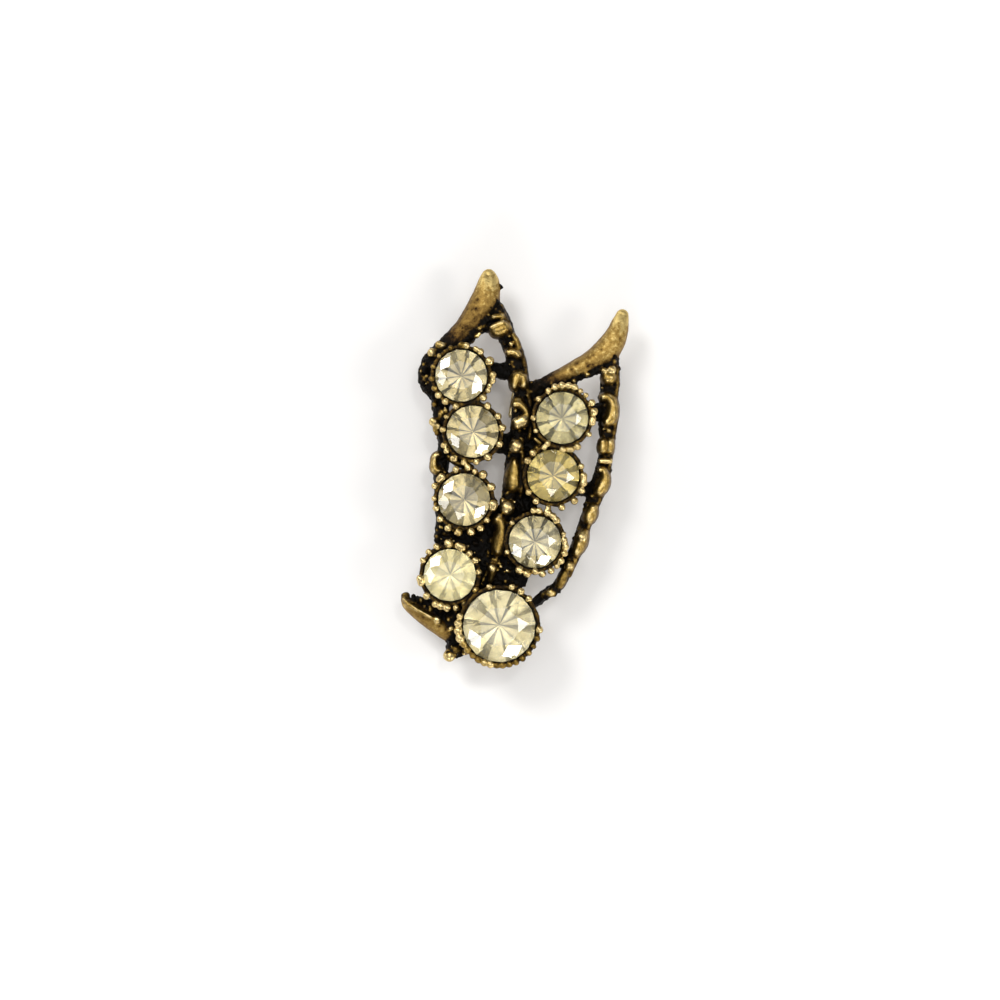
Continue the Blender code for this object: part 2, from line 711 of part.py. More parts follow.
def place_on_base(root, parts):
    """Moves the brooch so that its box stands on the origin, centred in X and Y."""
    bpy.context.view_layer.update()
    graph = bpy.context.evaluated_depsgraph_get()
    corners = []
    for part in parts.objects:
        solid = part.evaluated_get(graph)
        corners += [part.matrix_world @ vertex.co for vertex in solid.data.vertices]
    low = Vector([min(corner[axis] for corner in corners) for axis in range(3)])
    high = Vector([max(corner[axis] for corner in corners) for axis in range(3)])
    root.location = Vector((-(low.x + high.x) / 2, -(low.y + high.y) / 2, -low.z))


def main():
    clear_scene()
    parts = collection("lingerie_pin")
    forms = collection("cast_forms", hidden=True)
    cuts = collection("pockets", hidden=True)
    shanks = collection("studs", hidden=True)
    heads = collection("stud_heads", hidden=True)
    plate_forms = collection("plate_forms", hidden=True)
    plate_cuts = collection("plate_cuts", hidden=True)
    wire = collection("wire", hidden=True)
    root = bpy.data.objects.new("lingerie_pin", None)
    bpy.context.scene.collection.objects.link(root)
    gold = material("antique_gold", (0.50, 0.36, 0.13), 0.35, 1.0)
    glass = material("foiled_glass", (0.72, 0.70, 0.52), 0.05, 0.0)
    plated = material("pin_metal", (0.55, 0.47, 0.30), 0.3, 1.0)

    stones = all_stones()
    build_bars(forms, root)
    build_relief(forms, root)
    for stone in stones:
        build_cup(stone, forms, root)
        build_bead_ring(stone, stones, forms, root)
        build_pocket(stone, cuts, root)
        build_stone(stone, parts, root, glass)
    build_studs(shanks, heads, root)

    spine = bmesh.new()
    middle = Vector((0.0, 0.0, (WEB_H - UNDERCUT) / 2))
    add_block(spine, Vector((SPINE_W, PLATE_L * SPINE_SHARE, WEB_H + UNDERCUT)), middle)
    casting = on_plate_line(add_object("casting", spine, parts, root, gold))
    below = bmesh.new()
    reach = 20 * PITCH
    add_block(below, Vector((reach, reach, OVERSHOOT)), Vector((0.0, 0.0, -OVERSHOOT / 2)))
    back_plane = add_object("back_plane", below, bpy.context.scene.collection, root)
    combine(casting, "UNION", forms)
    combine(casting, "DIFFERENCE", back_plane)
    combine(casting, "UNION", shanks)
    combine(casting, "UNION", heads)
    combine(casting, "DIFFERENCE", cuts)
    build_pin_back(parts, plate_forms, plate_cuts, wire, root, plated)
    place_on_base(root, parts)


main()
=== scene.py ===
"""The finished look of a small antique-gold brooch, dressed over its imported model.

The casting is built as one signed distance field: bars, cups, beads and crumbs of metal melt into each
other as they do in a cast piece, and the surface is then drawn round it. The sizes below are in
millimetres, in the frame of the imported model, with +Z up. A mesh is turned into metres when it is made.
"""

import math
from collections import namedtuple

import bmesh
import bpy
import numpy as np
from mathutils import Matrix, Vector


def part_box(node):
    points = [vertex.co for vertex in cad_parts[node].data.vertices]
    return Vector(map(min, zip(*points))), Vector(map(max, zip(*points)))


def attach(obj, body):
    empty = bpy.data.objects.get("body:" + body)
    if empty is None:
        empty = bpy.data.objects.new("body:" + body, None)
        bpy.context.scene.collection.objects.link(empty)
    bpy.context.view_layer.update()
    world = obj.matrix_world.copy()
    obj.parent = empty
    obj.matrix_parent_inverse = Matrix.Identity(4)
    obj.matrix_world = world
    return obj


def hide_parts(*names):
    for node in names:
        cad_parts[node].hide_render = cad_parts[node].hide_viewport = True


METRE = 0.001
SEED = 7

# Grid steps of the two fields
SPRAY_STEP = 0.085
PIN_STEP = 0.1

# The plan: distance between two stones' middles, the photograph's scale and middle, and where stone_1 lies
PITCH = 5.14
PX_PER_MM = 11.1
MIDDLE_PX = (515.5, 470.0)
STONE_1_PLACE = (-0.95, 1.65)

# Height of the casting's back above the floor, and heights from there
BACK_Z = 3.65
UNDERCUT = 0.4
RIB_TOP = 1.35
RELIEF_TOP = 2.2
RELIEF_ROOT = 0.5

# Raised work: how much wider than read it is built, how deep, and its gold
RELIEF_SPREAD = 1.78
BALL_SPREAD = 1.2
BEAD_SPREAD = 1.14
BEAD_CHANGE = 0.28
ROUND_STROKE = 1.2
STALK_OVER = 1.3
STALK_SHARE = 0.8
RELIEF_GILD = 0.67
RELIEF_SATIN = 0.15
RELIEF_POWER = 2.2
BALL_SATIN = 0.1

# Cups and stones
STONE_D = 4.7
LARGE_STONE_D = 6.5
STONE_FIT = 0.07
SEAT_FIT = 0.12
CUP_WALL = 0.36
RIM_DROP = 0.16
CUP_FLOOR = 0.4
SEAT_MARGIN = 0.3
CUP_TAPER = 0.94

# Beads close to a stone are lifted over the rim, and those that lie out stand on prongs
BEAD_LIFT = 0.10
PRONG_OUT = 0.5
PRONG_SHARE = 0.36
PRONG_L = 1.6
PRONG_TAPER = 0.7

# The cut of the stones, as shares of their diameter and radius, and the wedges of their foil
CROWN_SHARE = 0.17
GIRDLE_SHARE = 0.05
PAVILION_SHARE = 0.42
TABLE_SHARE = 0.56
CROWN_BREAK_SHARE = 0.82
CUT_SIDES = 8
WEDGES = 10
NARROW_DEG = 6.0
NARROW_CHANGE = (0.6, 1.5)
WEDGE_STRAY_DEG = 5.0

# How far neighbouring forms melt into each other
MELT = 0.28
BEAD_MELT = 0.08
RELIEF_MELT = 0.14
BALL_MELT = 0.16
FLANK_MELT = 0.12
PIT_MELT = 0.08
SEAT_MELT = 0.06

# Rounding of the back's edges, how deep its dull gold reaches, and the distance in empty space
BACK_ROUND = 0.3
BACK_GOLD_DEPTH = 0.3
FAR = 5.0

# A bar's underside against its top, how far its lifted tip reaches, and how far below its foot it ends
UNDERSIDE_SHARE = 0.4
TIP_SHARE = 0.5
TIP_CUT_SHARE = 0.3

# Grain of the cast skin: its depth on gold, what is added where it is dark, and how fast gold ends that
FINE_GRAIN = (0.006, 0.034)
COARSE_GRAIN = (0.008, 0.03)
DARK_FADE = 2.0

# How often the surface is eased, to take out the grid's steps
EASE_PASSES = 2

# Wear of the gold: how far round a place is looked at, in grid steps, and what flat metal, edges, high
# places and ridges show of their gilding
NEAR_CELLS = 2
WIDE_CELLS = 7
WEAR_FLAT = 0.55
WEAR_EDGE = 1.1
WEAR_FROM = 0.35
WEAR_MOST = 0.75
WEAR_HIGH = 0.7
HIGH_MOST = 0.3
WEAR_RIDGE = 0.5
RIDGE_GILD = 0.1
RIDGE_FROM = 0.1
RIDGE_MOST = 0.3

# Wear of a steep face, which satin gold and a look upwards raise, and its least. Depth of a hollow
STEEP = 0.46
STEEP_SATIN = 0.20
STEEP_FACING = 0.80
STEEP_LEAST = 0.18
STEEP_LEAST_SATIN = 0.22
HOLLOW_NEAR = 2.2
HOLLOW_WIDE = 1.2

# Boxes of the two fields
SPRAY_BOX = ((-10.7, -18.5, 1.9), (10.7, 18.5, 8.0))
PIN_BOX = ((-4.6, -13.6, -0.4), (4.6, 8.4, 3.8))

# Two things about a form's finish: how much gold shows through the patina, and how satin the gold is
Look = namedtuple("Look", "gild satin")
BLACK = Look(0.0, 0.2)
DARK = Look(0.16, 0.2)
OLD_GOLD = Look(0.62, 0.4)
BACK_LOOK = Look(0.56, 0.8)
FLANK_LOOK = Look(0.05, 0.2)
CUP_LOOK = Look(0.27, 0.2)
PRONG_LOOK = Look(0.12, 0.2)
STALK_LOOK = Look(0.2, 0.2)
PIT_LOOK = Look(0.42, 0.8)
PIN_LOOK = Look(0.9, 0.5)
STEM_LOOK = Look(1.0, 0.2)

Section = namedtuple("Section", "x y width height", defaults=(1.0,))
Bar = namedtuple("Bar", "x0 y0 x1 y1 width")
Dot = namedtuple("Dot", "px py width_px top gild", defaults=(RELIEF_TOP, 1.0))
Bead = namedtuple("Bead", "deg out diameter gild", defaults=(0.86,))


def sections(*rows):
    return [Section(*row) for row in rows]


def band(places, width_px, top, gild):
    """Dots of one size through several places."""
    return [(px, py, width_px, top, gild) for px, py in places]


# The bars of the casting: x and y are shares of PITCH, width and height are shares of the bar's own two sizes
LEFT_HORN = sections(
    (-0.48, 3.493, 0.31, 0.45), (-0.47, 3.35, 0.67, 0.75), (-0.49, 3.16, 0.90, 0.95),
    (-0.57, 2.93, 1.02, 1.05), (-0.71, 2.72, 0.94, 1.05), (-0.87, 2.52, 0.81), (-1.06, 2.31, 0.81),
    (-1.25, 2.12, 0.78, 0.95), (-1.42, 1.96, 0.78, 0.90), (-1.52, 1.79, 0.74, 0.85),
    (-1.54, 1.61, 0.71, 0.80), (-1.48, 1.45, 0.63, 0.75), (-1.39, 1.33, 0.47, 0.60),
)
RIGHT_HORN = sections(
    (1.905, 2.80, 0.35, 0.50), (1.855, 2.61, 0.58, 0.75), (1.78, 2.38, 0.78, 0.95),
    (1.60, 2.10, 0.94, 1.05), (1.34, 1.91, 0.82), (1.06, 1.77, 0.71), (0.78, 1.63, 0.63, 0.95),
    (0.52, 1.51, 0.59, 0.85), (0.31, 1.40, 0.55, 0.75), (0.18, 1.28, 0.39, 0.50),
)
LEFT_RIB = sections(
    (-0.42, 3.00, 0.70, 0.9), (-0.31, 2.80, 0.93), (-0.22, 2.59, 1.05), (-0.15, 2.35, 1.05),
    (-0.06, 2.10, 0.99), (0.01, 1.86, 1.05), (0.06, 1.61, 0.99), (0.10, 1.37, 0.87), (0.09, 1.12, 1.05),
    (0.08, 0.86, 1.10), (0.03, 0.63, 0.93), (0.00, 0.40, 0.93), (-0.04, 0.14, 0.93), (-0.05, -0.12, 1.05),
    (-0.09, -0.39, 0.93), (-0.14, -0.65, 0.93), (-0.25, -0.93, 1.10), (-0.28, -1.23, 1.10),
    (-0.33, -1.51, 0.87), (-0.39, -1.75, 0.70, 0.9), (-0.43, -2.00, 0.52, 0.7),
)
RIGHT_RIB = sections(
    (1.69, 2.07, 0.81, 0.90), (1.67, 1.79, 1.10), (1.67, 1.58, 1.16), (1.65, 1.37, 1.05),
    (1.63, 1.12, 1.10), (1.63, 0.86, 1.10), (1.62, 0.60, 0.99), (1.60, 0.33, 0.91), (1.56, 0.07, 0.91),
    (1.49, -0.19, 0.99), (1.39, -0.47, 0.93), (1.30, -0.74, 0.81), (1.20, -1.02, 0.76), (1.10, -1.31, 0.76),
    (0.99, -1.58, 0.76), (0.87, -1.84, 0.70, 0.95), (0.73, -2.05, 0.64, 0.90), (0.55, -2.21, 0.52, 0.70),
)
LEFT_EDGE = sections(
    (-1.45, 1.44, 0.90, 0.9), (-1.32, 1.17, 1.16), (-1.31, 0.93, 1.09), (-1.27, 0.67, 0.97),
    (-1.25, 0.39, 0.90), (-1.31, 0.11, 1.03), (-1.32, -0.19, 0.90), (-1.32, -0.53, 0.77),
    (-1.29, -0.88, 0.90), (-1.24, -1.19, 1.42, 0.9), (-1.17, -1.51, 1.16, 0.8),
)
LEAF = sections(
    (-1.99, -2.24, 0.28, 0.40), (-1.92, -2.33, 0.62, 0.70), (-1.76, -2.45, 0.90, 0.95),
    (-1.57, -2.59, 1.01), (-1.38, -2.73, 1.01), (-1.20, -2.87, 0.90, 0.90), (-1.06, -2.98, 0.56, 0.70),
)
STEM = sections(
    (-1.03, -2.42, 1.16), (-1.08, -2.77, 1.03), (-1.11, -3.03, 0.90, 0.9), (-1.15, -3.24, 0.64, 0.7),
)
CHANNEL_WEB = sections(
    (0.20, 1.52, 0.42), (0.27, 1.30, 0.72), (0.27, 0.88, 0.78), (0.20, 0.35, 0.81), (0.13, -0.18, 0.84),
    (0.08, -0.70, 1.02), (0.03, -1.14, 1.20), (-0.06, -1.58, 1.26), (-0.17, -2.10, 1.20),
)
SPRAY_WEB = sections(
    (-0.45, -0.54, 0.48, 1.05), (-0.59, -0.79, 1.08, 1.05), (-0.66, -1.05, 1.92, 1.05),
    (-0.66, -1.40, 2.04, 1.05), (-0.55, -1.79, 1.44, 1.05), (-0.55, -2.14, 1.32, 1.05),
    (-0.73, -2.49, 1.44, 1.05), (-0.90, -2.87, 1.08, 1.05), (-1.01, -3.19, 0.48, 1.05),
)
LEAF_WEB = sections(
    (-1.80, -2.28, 0.24, 0.9), (-1.59, -2.38, 0.48, 0.9), (-1.36, -2.49, 0.60, 0.9),
    (-1.11, -2.66, 0.84, 0.9),
)
SHOULDER_WEB = sections(
    (0.25, 1.37, 0.48, 0.95), (0.57, 1.38, 0.48, 0.95), (0.89, 1.47, 0.42, 0.95), (1.06, 1.58, 0.24, 0.95),
)
CROTCH_WEB = sections(
    (-0.86, 2.50, 0.40, 1.3), (-0.62, 2.60, 0.62, 1.45), (-0.42, 2.62, 0.62, 1.45),
    (-0.24, 2.62, 0.50, 1.35),
)
CROSS_BARS = [
    Bar(-0.55, 1.79, 0.06, 1.70, 1.0),
    Bar(-0.45, 0.47, 0.05, 0.47, 1.25),
    Bar(1.10, 1.02, 1.60, 1.02, 1.0),
    Bar(0.95, -0.28, 1.48, -0.39, 0.9),
    Bar(0.65, -1.55, 1.04, -1.62, 1.0),
    Bar(0.15, -2.48, 0.68, -2.08, 0.6),
]

# Where along each bar the gold shows: (share of its run, gild) pairs. On the horns the raised values at the
# tip are partly polished wear and partly a painted highlight
LEFT_HORN_GOLD_AND_TIP_HIGHLIGHT = [
    (0.0, 1.02), (0.06, 0.98), (0.15, 0.76), (0.30, 0.62), (0.43, 0.54), (0.53, 0.38), (0.62, 0.08),
    (1.0, 0.04),
]
RIGHT_HORN_GOLD_AND_TIP_HIGHLIGHT = [
    (0.0, 1.02), (0.07, 0.96), (0.15, 0.79), (0.5, 0.76), (0.68, 0.70), (0.77, 0.40), (0.86, 0.12),
    (1.0, 0.0),
]
LEFT_RIB_GOLD = [(0.0, 0.06), (0.05, 0.15), (0.8, 0.18), (0.9, 0.10), (1.0, 0.03)]
RIGHT_RIB_GOLD = [(0.0, 0.16), (0.5, 0.18), (0.75, 0.30), (0.92, 0.34), (1.0, 0.15)]
EDGE_GOLD = [(0.0, 0.02), (0.5, 0.10), (1.0, 0.02)]
LEAF_GOLD = [(0.0, 0.80), (0.5, 0.64), (0.8, 0.70), (1.0, 0.50)]
STEM_GOLD = [(0.0, 0.0), (1.0, 0.10)]

# Widths and heights of the bars above, how square their section is and how satin their gold
HORN_LIFT = 0.95
BarSet = namedtuple("BarSet", "rows width height power satin gilding tip_lift", defaults=(0.0,))
BARS = [
    BarSet(LEFT_HORN, 2.6, 1.75, 2.4, 1.0, LEFT_HORN_GOLD_AND_TIP_HIGHLIGHT, HORN_LIFT),
    BarSet(RIGHT_HORN, 2.6, 1.75, 2.4, 1.0, RIGHT_HORN_GOLD_AND_TIP_HIGHLIGHT, HORN_LIFT),
    BarSet(LEFT_RIB, 1.55, RIB_TOP, 2.8, 0.4, LEFT_RIB_GOLD),
    BarSet(RIGHT_RIB, 1.55, RIB_TOP, 2.8, 0.4, RIGHT_RIB_GOLD),
    BarSet(LEFT_EDGE, 1.4, 1.3, 2.6, 0.2, EDGE_GOLD),
    BarSet(LEAF, 1.75, 1.3, 2.2, 0.9, LEAF_GOLD),
    BarSet(STEM, 1.4, 1.2, 2.6, 0.2, STEM_GOLD),
]
WEB_W = 3.0
WEB_H = 0.85
WEB_POWER = 4.0
WEBS = [CHANNEL_WEB, SPRAY_WEB, LEAF_WEB, SHOULDER_WEB, CROTCH_WEB]
CROSS_W = 1.6
CROSS_H = 1.15
CROSS_ENDS = 0.9

# Raised work on the ribs, in the photograph's pixels: rows are Dots, and each stroke runs through its own
STROKES = [
    [
        (500, 303, 3.5, 1.45, 0.52),
        *band([(506.5, 321), (514, 336), (521.5, 353), (525.5, 370), (527, 385), (530, 404)], 3.5, 1.5, 0.55),
        (531.5, 422, 4, 1.5, 0.55), (529.5, 440, 3.5, 1.5, 0.5),
    ],
    [
        (617, 366, 3, 1.45, 0.56),
        *band([
            (618, 380), (616, 399), (616.5, 416), (614.5, 432), (612, 449), (609.5, 466), (606.5, 481),
            (599.5, 501), (591.5, 518), (586.5, 534), (578.5, 555),
        ], 3, 1.5, 0.56),
        (569, 577, 3, 1.45, 0.54),
    ],
    [(492.5, 331.5, 8), (500, 328.5, 10.5), (507.5, 325.5, 8)],
    [(490, 328, 2.5, 2.3), (497, 324.5, 3.5, 2.38), (504, 321, 2.5, 2.3)],
    [(494, 316.5, 4, 2.0), (501, 316, 5, 2.0)],
    [(512.5, 333, 3, 2.0, 0.8), (516.5, 341, 4, 2.0, 0.8), (519.5, 350, 4, 2.0, 0.8)],
    [(506, 354.5, 4), (511, 351.5, 5.5), (516, 353, 6), (519.5, 357.5, 3.5)],
    [(520.5, 373, 6), (516.5, 378, 8.5), (514.5, 385, 7), (513.5, 389, 4)],
    [(522.5, 374, 5), (523.5, 381, 5.5), (523.5, 388, 5.5)],
    [(514, 400, 4, 2.0), (518, 399.5, 4, 2.0), (521, 401, 3, 2.0)],
    [(512, 405, 5), (517.5, 403.5, 6), (523, 407, 5.5), (527, 413.5, 5.5), (527.5, 420, 6)],
    [(514.5, 459, 4), (514.3, 468, 9), (513.8, 480, 12), (513, 489, 10.5)],
    [(522.5, 451, 3, 1.95, 0.5), (523, 471, 4.5, 2.0, 0.55), (521, 493, 3, 1.95, 0.5)],
    [(493, 521, 7), (499, 520, 8), (502, 529, 9), (500.5, 542, 11), (497, 554, 7)],
    [(507, 521, 4, 1.9, 0.6), (509.5, 531, 4, 1.9, 0.6), (508.5, 545, 4, 1.9, 0.6), (505, 556, 3, 1.8, 0.5)],
    [(492.5, 566, 7, 2.0), (492, 574, 5, 1.9, 0.9), (490, 583, 3, 1.6, 0.7)],
    [(600.5, 398, 5), (606.5, 396.5, 6.5), (611.5, 401, 8), (613, 410, 8.5), (610.5, 418.5, 9),
     (605, 424, 5)],
    [(597.5, 471.5, 4), (602.5, 469.5, 5.5), (605.2, 477, 7.5), (602.5, 486.5, 9), (597.5, 493.5, 6.5)],
    [(594, 505.5, 6), (591, 514, 9.5), (587, 522.5, 7)],
    [(585, 530.5, 6), (582, 539.5, 9), (578.5, 548.5, 8.5), (575, 555, 5)],
    [(566.5, 570, 5, 1.9, 0.75), (562.5, 580, 7, 1.9, 0.75), (558.5, 588.5, 5, 1.8, 0.65)],
    [(604, 379, 8), (609.5, 377.5, 9.5), (614.5, 378, 8)],
    [(534, 437.5, 2.5, 1.9), (539, 441.5, 4, 1.9), (544, 445, 5, 1.9)],
    [(535, 447.5, 4, 1.9), (541.5, 448.8, 4.5, 1.9)],
    [(441, 453.5, 4, 1.9), (435.5, 455.5, 5, 1.9), (433.5, 462, 5, 1.9), (435, 469, 6.5, 1.9),
     (441, 472, 5, 1.9)],
    [(450, 459, 3, 2.0, 0.8), (458, 463, 4.5, 2.0, 0.85), (466, 465.5, 4.5, 2.0, 0.85),
     (473, 468, 3, 2.0, 0.8)],
    [(402.5, 598.8, 2.5, 1.1), (410, 605.5, 4, 1.45), (421, 612, 4, 1.6), (431, 617.5, 4, 1.6),
     (438, 621, 4, 1.55)],
    [(603, 439, 5), (603, 446, 7), (602.5, 452.5, 6)],
    [(610.5, 439, 5), (610, 446, 6.5), (609.5, 452.5, 6)],
]
BALLS = [
    (511, 343.5, 4.5, 1.95, 0.8), (518, 423, 11, 2.35), (523, 421, 11.5, 2.4), (516.2, 446.0, 12.5, 2.3),
    (507.0, 507.5, 13.5, 2.3), (502.5, 500.5, 5, 1.9, 0.7), (499, 516.5, 5, 2.1), (492, 568, 7.5, 2.0),
    (604.5, 370.5, 5.5, 2.0), (612, 369.5, 7, 2.1), (601, 461, 5, 1.95), (605.5, 461, 5.5, 1.95),
    (610, 461, 5, 1.95), (582, 537, 8, 2.35), (569.5, 565.5, 8.5, 1.95, 0.7), (551, 592.5, 8, 1.6, 0.8),
    (544.5, 595, 5, 1.4, 0.6), (545.5, 446.5, 4.5, 1.9), (533, 452.5, 5.5, 1.8), (531, 462, 5, 1.5, 0.8),
    (529, 492, 4.5, 1.5, 0.9), (536, 501, 5, 1.6, 0.9), (534, 510, 5.5, 1.6), (539.5, 512, 5.5, 1.7),
    (547.7, 512.5, 7, 1.9), (553.5, 516.5, 5.5, 1.8), (537.8, 399, 3.5, 1.3, 0.9),
    (536.3, 408, 3.5, 1.3, 0.7), (431.7, 352.5, 8, 1.9, 0.9), (438, 344, 5.5, 1.9, 0.7),
    (442.5, 345.5, 5.5, 2.0, 0.8), (425.5, 378.5, 5, 1.6, 0.6), (429, 381.5, 5, 1.6, 0.7),
    (433.5, 421.5, 8, 1.9, 1.0), (438.5, 426, 4.5, 1.8, 0.9), (435.5, 429, 5, 1.7, 0.6),
    (434.5, 404, 5, 1.6, 0.4), (437, 433, 5, 1.7, 0.4), (437.5, 620.5, 6.5, 1.65, 1.0),
    (449, 656.5, 10.5, 1.2, 0.95), (456.5, 650.5, 7, 1.4, 0.45), (500.5, 285.5, 4.5, 1.0, 0.0),
    (404.8, 597.2, 8, 0.8, 0.4),
]

# The beads that grip each stone, as rows of Bead: angle, distance from the stone's middle, diameter, gild
BEADS = {
    "stone_1": [
        (1, 2.85, 0.62), (-9, 2.90, 0.50), (27, 2.86, 0.78), (51, 2.76, 0.58), (62, 2.74, 0.46),
        (80, 2.72, 0.60), (90, 2.72, 0.58, 0.52), (110, 2.66, 0.50, 0.52), (138, 2.66, 0.42, 0.52),
        (162, 2.64, 0.46, 0.52), (186, 2.66, 0.54, 0.52), (205, 2.68, 0.50, 0.52), (221, 2.70, 0.60),
        (239, 2.74, 0.58), (-45, 2.80, 0.64), (-29, 2.76, 0.48), (-19, 2.72, 0.44),
    ],
    "stone_2": [
        (7, 2.68, 0.66), (31, 2.66, 0.62), (60, 2.68, 0.60), (124, 2.70, 0.54), (150, 2.72, 0.42),
        (176, 2.68, 0.52), (206, 2.84, 0.56), (217, 2.92, 0.50), (235, 2.96, 0.64), (254, 2.88, 0.56),
        (277, 2.76, 0.56), (301, 2.66, 0.70), (335, 2.66, 0.62),
    ],
    "stone_3": [
        (25, 2.70, 0.72), (53, 2.82, 0.74), (69, 2.74, 0.52), (83, 2.90, 0.60), (105, 2.80, 0.60),
        (134, 2.84, 0.66), (141, 2.86, 0.60), (155, 2.92, 0.56), (178, 2.72, 0.44), (197, 2.64, 0.54),
        (219, 2.78, 0.58), (241, 2.94, 0.62), (260, 2.98, 0.70), (282, 2.96, 0.72), (300, 2.94, 0.66),
        (318, 2.76, 0.54), (351, 2.66, 0.76), (344, 2.68, 0.60),
    ],
    "stone_4": [
        (6, 2.62, 0.54), (30, 2.64, 0.60), (48, 2.64, 0.56), (66, 2.72, 0.70), (74, 2.76, 0.60),
        (92, 2.84, 0.74), (115, 2.82, 0.58), (132, 2.82, 0.52), (151, 2.74, 0.54), (187, 2.64, 0.70),
        (195, 2.64, 0.62), (222, 2.80, 0.60), (243, 2.90, 0.58), (254, 2.90, 0.62), (266, 2.96, 0.66),
        (281, 2.98, 0.56), (297, 2.98, 0.60), (330, 2.70, 0.58),
    ],
    "stone_5": [
        (11, 2.90, 0.66), (27, 2.96, 0.62), (44, 2.92, 0.48), (56, 2.92, 0.46), (68, 2.96, 0.58),
        (79, 2.96, 0.60), (91, 2.92, 0.62), (104, 2.84, 0.60), (118, 2.72, 0.58), (142, 2.74, 0.52),
        (180, 2.62, 0.50), (206, 2.66, 0.44), (240, 2.68, 0.56), (270, 2.84, 0.54), (286, 2.96, 0.56),
        (298, 2.92, 0.60), (328, 2.80, 0.50), (351, 2.70, 0.60), (-2, 2.74, 0.52),
    ],
    "stone_6": [
        (0, 2.72, 0.60), (18, 2.64, 0.54), (60, 2.70, 0.50), (108, 2.66, 0.52), (132, 2.74, 0.62),
        (150, 2.64, 0.66), (214, 2.68, 0.56), (236, 2.78, 0.62), (261, 2.94, 0.50), (285, 2.96, 0.60),
        (310, 2.94, 0.64), (332, 2.88, 0.58), (346, 2.80, 0.62), (354, 2.76, 0.54),
    ],
    "stone_7": [
        (4, 2.64, 0.56), (-3, 2.70, 0.50), (16, 2.66, 0.44), (45, 2.74, 0.62), (55, 2.84, 0.58),
        (67, 2.88, 0.68), (82, 2.84, 0.56), (93, 2.84, 0.54), (241, 2.90, 0.72), (256, 2.96, 0.66),
        (270, 2.66, 0.60), (283, 2.94, 0.60), (299, 2.96, 0.58), (312, 2.94, 0.46), (324, 2.88, 0.60),
        (339, 2.84, 0.60), (351, 2.80, 0.58), (140, 2.70, 0.50), (200, 2.68, 0.46),
    ],
    "large_stone": [
        (43, 3.62, 0.58), (58, 3.66, 0.62), (72, 3.70, 0.52), (104, 3.66, 0.48), (166, 3.64, 0.56),
        (176, 3.70, 0.66), (186, 3.68, 0.72), (197, 3.66, 0.74), (207, 3.56, 0.58, 0.45),
        (217, 3.56, 0.60, 0.45), (228, 3.56, 0.52, 0.45), (238, 3.56, 0.56, 0.45), (248, 3.54, 0.60, 0.64),
        (257, 3.52, 0.60, 0.64), (266, 3.51, 0.58, 0.45), (275, 3.51, 0.58, 0.45), (285, 3.53, 0.56, 0.45),
        (295, 3.56, 0.54, 0.45), (306, 3.56, 0.56, 0.45), (318, 3.56, 0.52, 0.45), (330, 3.56, 0.50, 0.45),
        (342, 3.56, 0.56, 0.45), (355, 3.60, 0.62),
    ],
}

# The dark flanks of the two horns
LEFT_HORN_SHADE = sections(
    (-0.47, 2.74, 0.6, 0.9), (-0.62, 2.55, 1.0), (-0.80, 2.36, 1.1), (-0.99, 2.18, 1.1), (-1.16, 2.04, 0.9),
)
RIGHT_HORN_SHADE = sections(
    (0.42, 1.42, 0.9), (0.71, 1.53, 1.0), (0.94, 1.61, 1.0), (1.17, 1.68, 0.95), (1.39, 1.76, 0.85, 0.95),
    (1.60, 1.87, 0.6, 0.9),
)
SHADE_W = 0.95
SHADE_H = 1.42
SHADE_POWER = 3.0

# Crumbs of metal in the dark hollows: where they lie, how many, and the share that is worn to gold
Crumbs = namedtuple("Crumbs", "rows width count low high gold")
CRUMBS = [
    Crumbs(CHANNEL_WEB, 2.6, 230, 0.85, 1.30, 0.34),
    Crumbs(SPRAY_WEB, 2.6, 190, 0.90, 1.40, 0.58),
    Crumbs(LEAF_WEB, 2.4, 36, 0.80, 1.10, 0.20),
    Crumbs(SHOULDER_WEB, 2.4, 40, 0.90, 1.25, 0.20),
    Crumbs(CROTCH_WEB, 2.2, 40, 1.15, 1.50, 0.15),
    Crumbs(LEFT_EDGE, 1.3, 190, 1.15, 1.60, 0.40),
    Crumbs(LEFT_HORN[7:], 1.9, 210, 1.30, 1.80, 0.17),
    Crumbs(STEM, 1.2, 44, 0.90, 1.30, 0.15),
    Crumbs(RIGHT_HORN[6:], 1.4, 50, 0.90, 1.45, 0.20),
    Crumbs(LEFT_RIB, 1.25, 230, 1.30, 1.62, 0.30),
    Crumbs(RIGHT_RIB, 1.25, 190, 1.30, 1.62, 0.35),
    Crumbs(LEFT_HORN_SHADE, 0.95, 110, 1.20, 1.66, 0.18),
    Crumbs(RIGHT_HORN_SHADE, 0.9, 120, 1.10, 1.62, 0.18),
]
CRUMB_D = (0.26, 0.56)
GOLD_CRUMB = (0.42, 0.95)
DARK_CRUMB = (0.0, 0.14)
GOLD_CRUMB_SHARE = 0.8
CRUMB_SATIN = 0.1

# Casting pits on the horns and the leaf
PIT_ROWS = [(LEFT_HORN[3:7], 1.4, 15), (RIGHT_HORN[2:6], 1.3, 10), (LEAF[1:6], 1.2, 5)]
PIT_D = (0.12, 0.22)
PIT_RISE = 0.35

# The pin back
PLATE_X = -0.01
PLATE_Y = -0.37
PLATE_LEAN_DEG = -9.7
PLATE_SIZE = (2.3, 18.0, 0.7)
PLATE_GAP = 0.25
FOOT_W = 3.5
EAR_T = 0.8
EAR_L = 2.4
BARREL_D = 1.7
BARREL_RISE = 0.5
CATCH_L = 2.0
SLOT_H = 1.3
SLOT_PAST = 0.5
SLOT_ROUND = 0.5
PIN_D = 0.8
PIN_END_Y = -10.1
PIN_POINT = 1.6
PIN_POINT_SHARE = 0.2
STUD_D = 1.3
STUD_FIT = 0.15
STUD_HEAD_D = 2.1
STUD_HEAD_T = 0.35
STUD_Y = 5.04
STUD_ROOT = 0.5
SPINE_SIZE = (1.85, 16.2)
EDGE_ROUND = 0.14
CATCH_ROUND = 0.3
EAR_MELT = 0.1
CATCH_MELT = 0.15
SLOT_MELT = 0.1
HOLE_MELT = 0.05
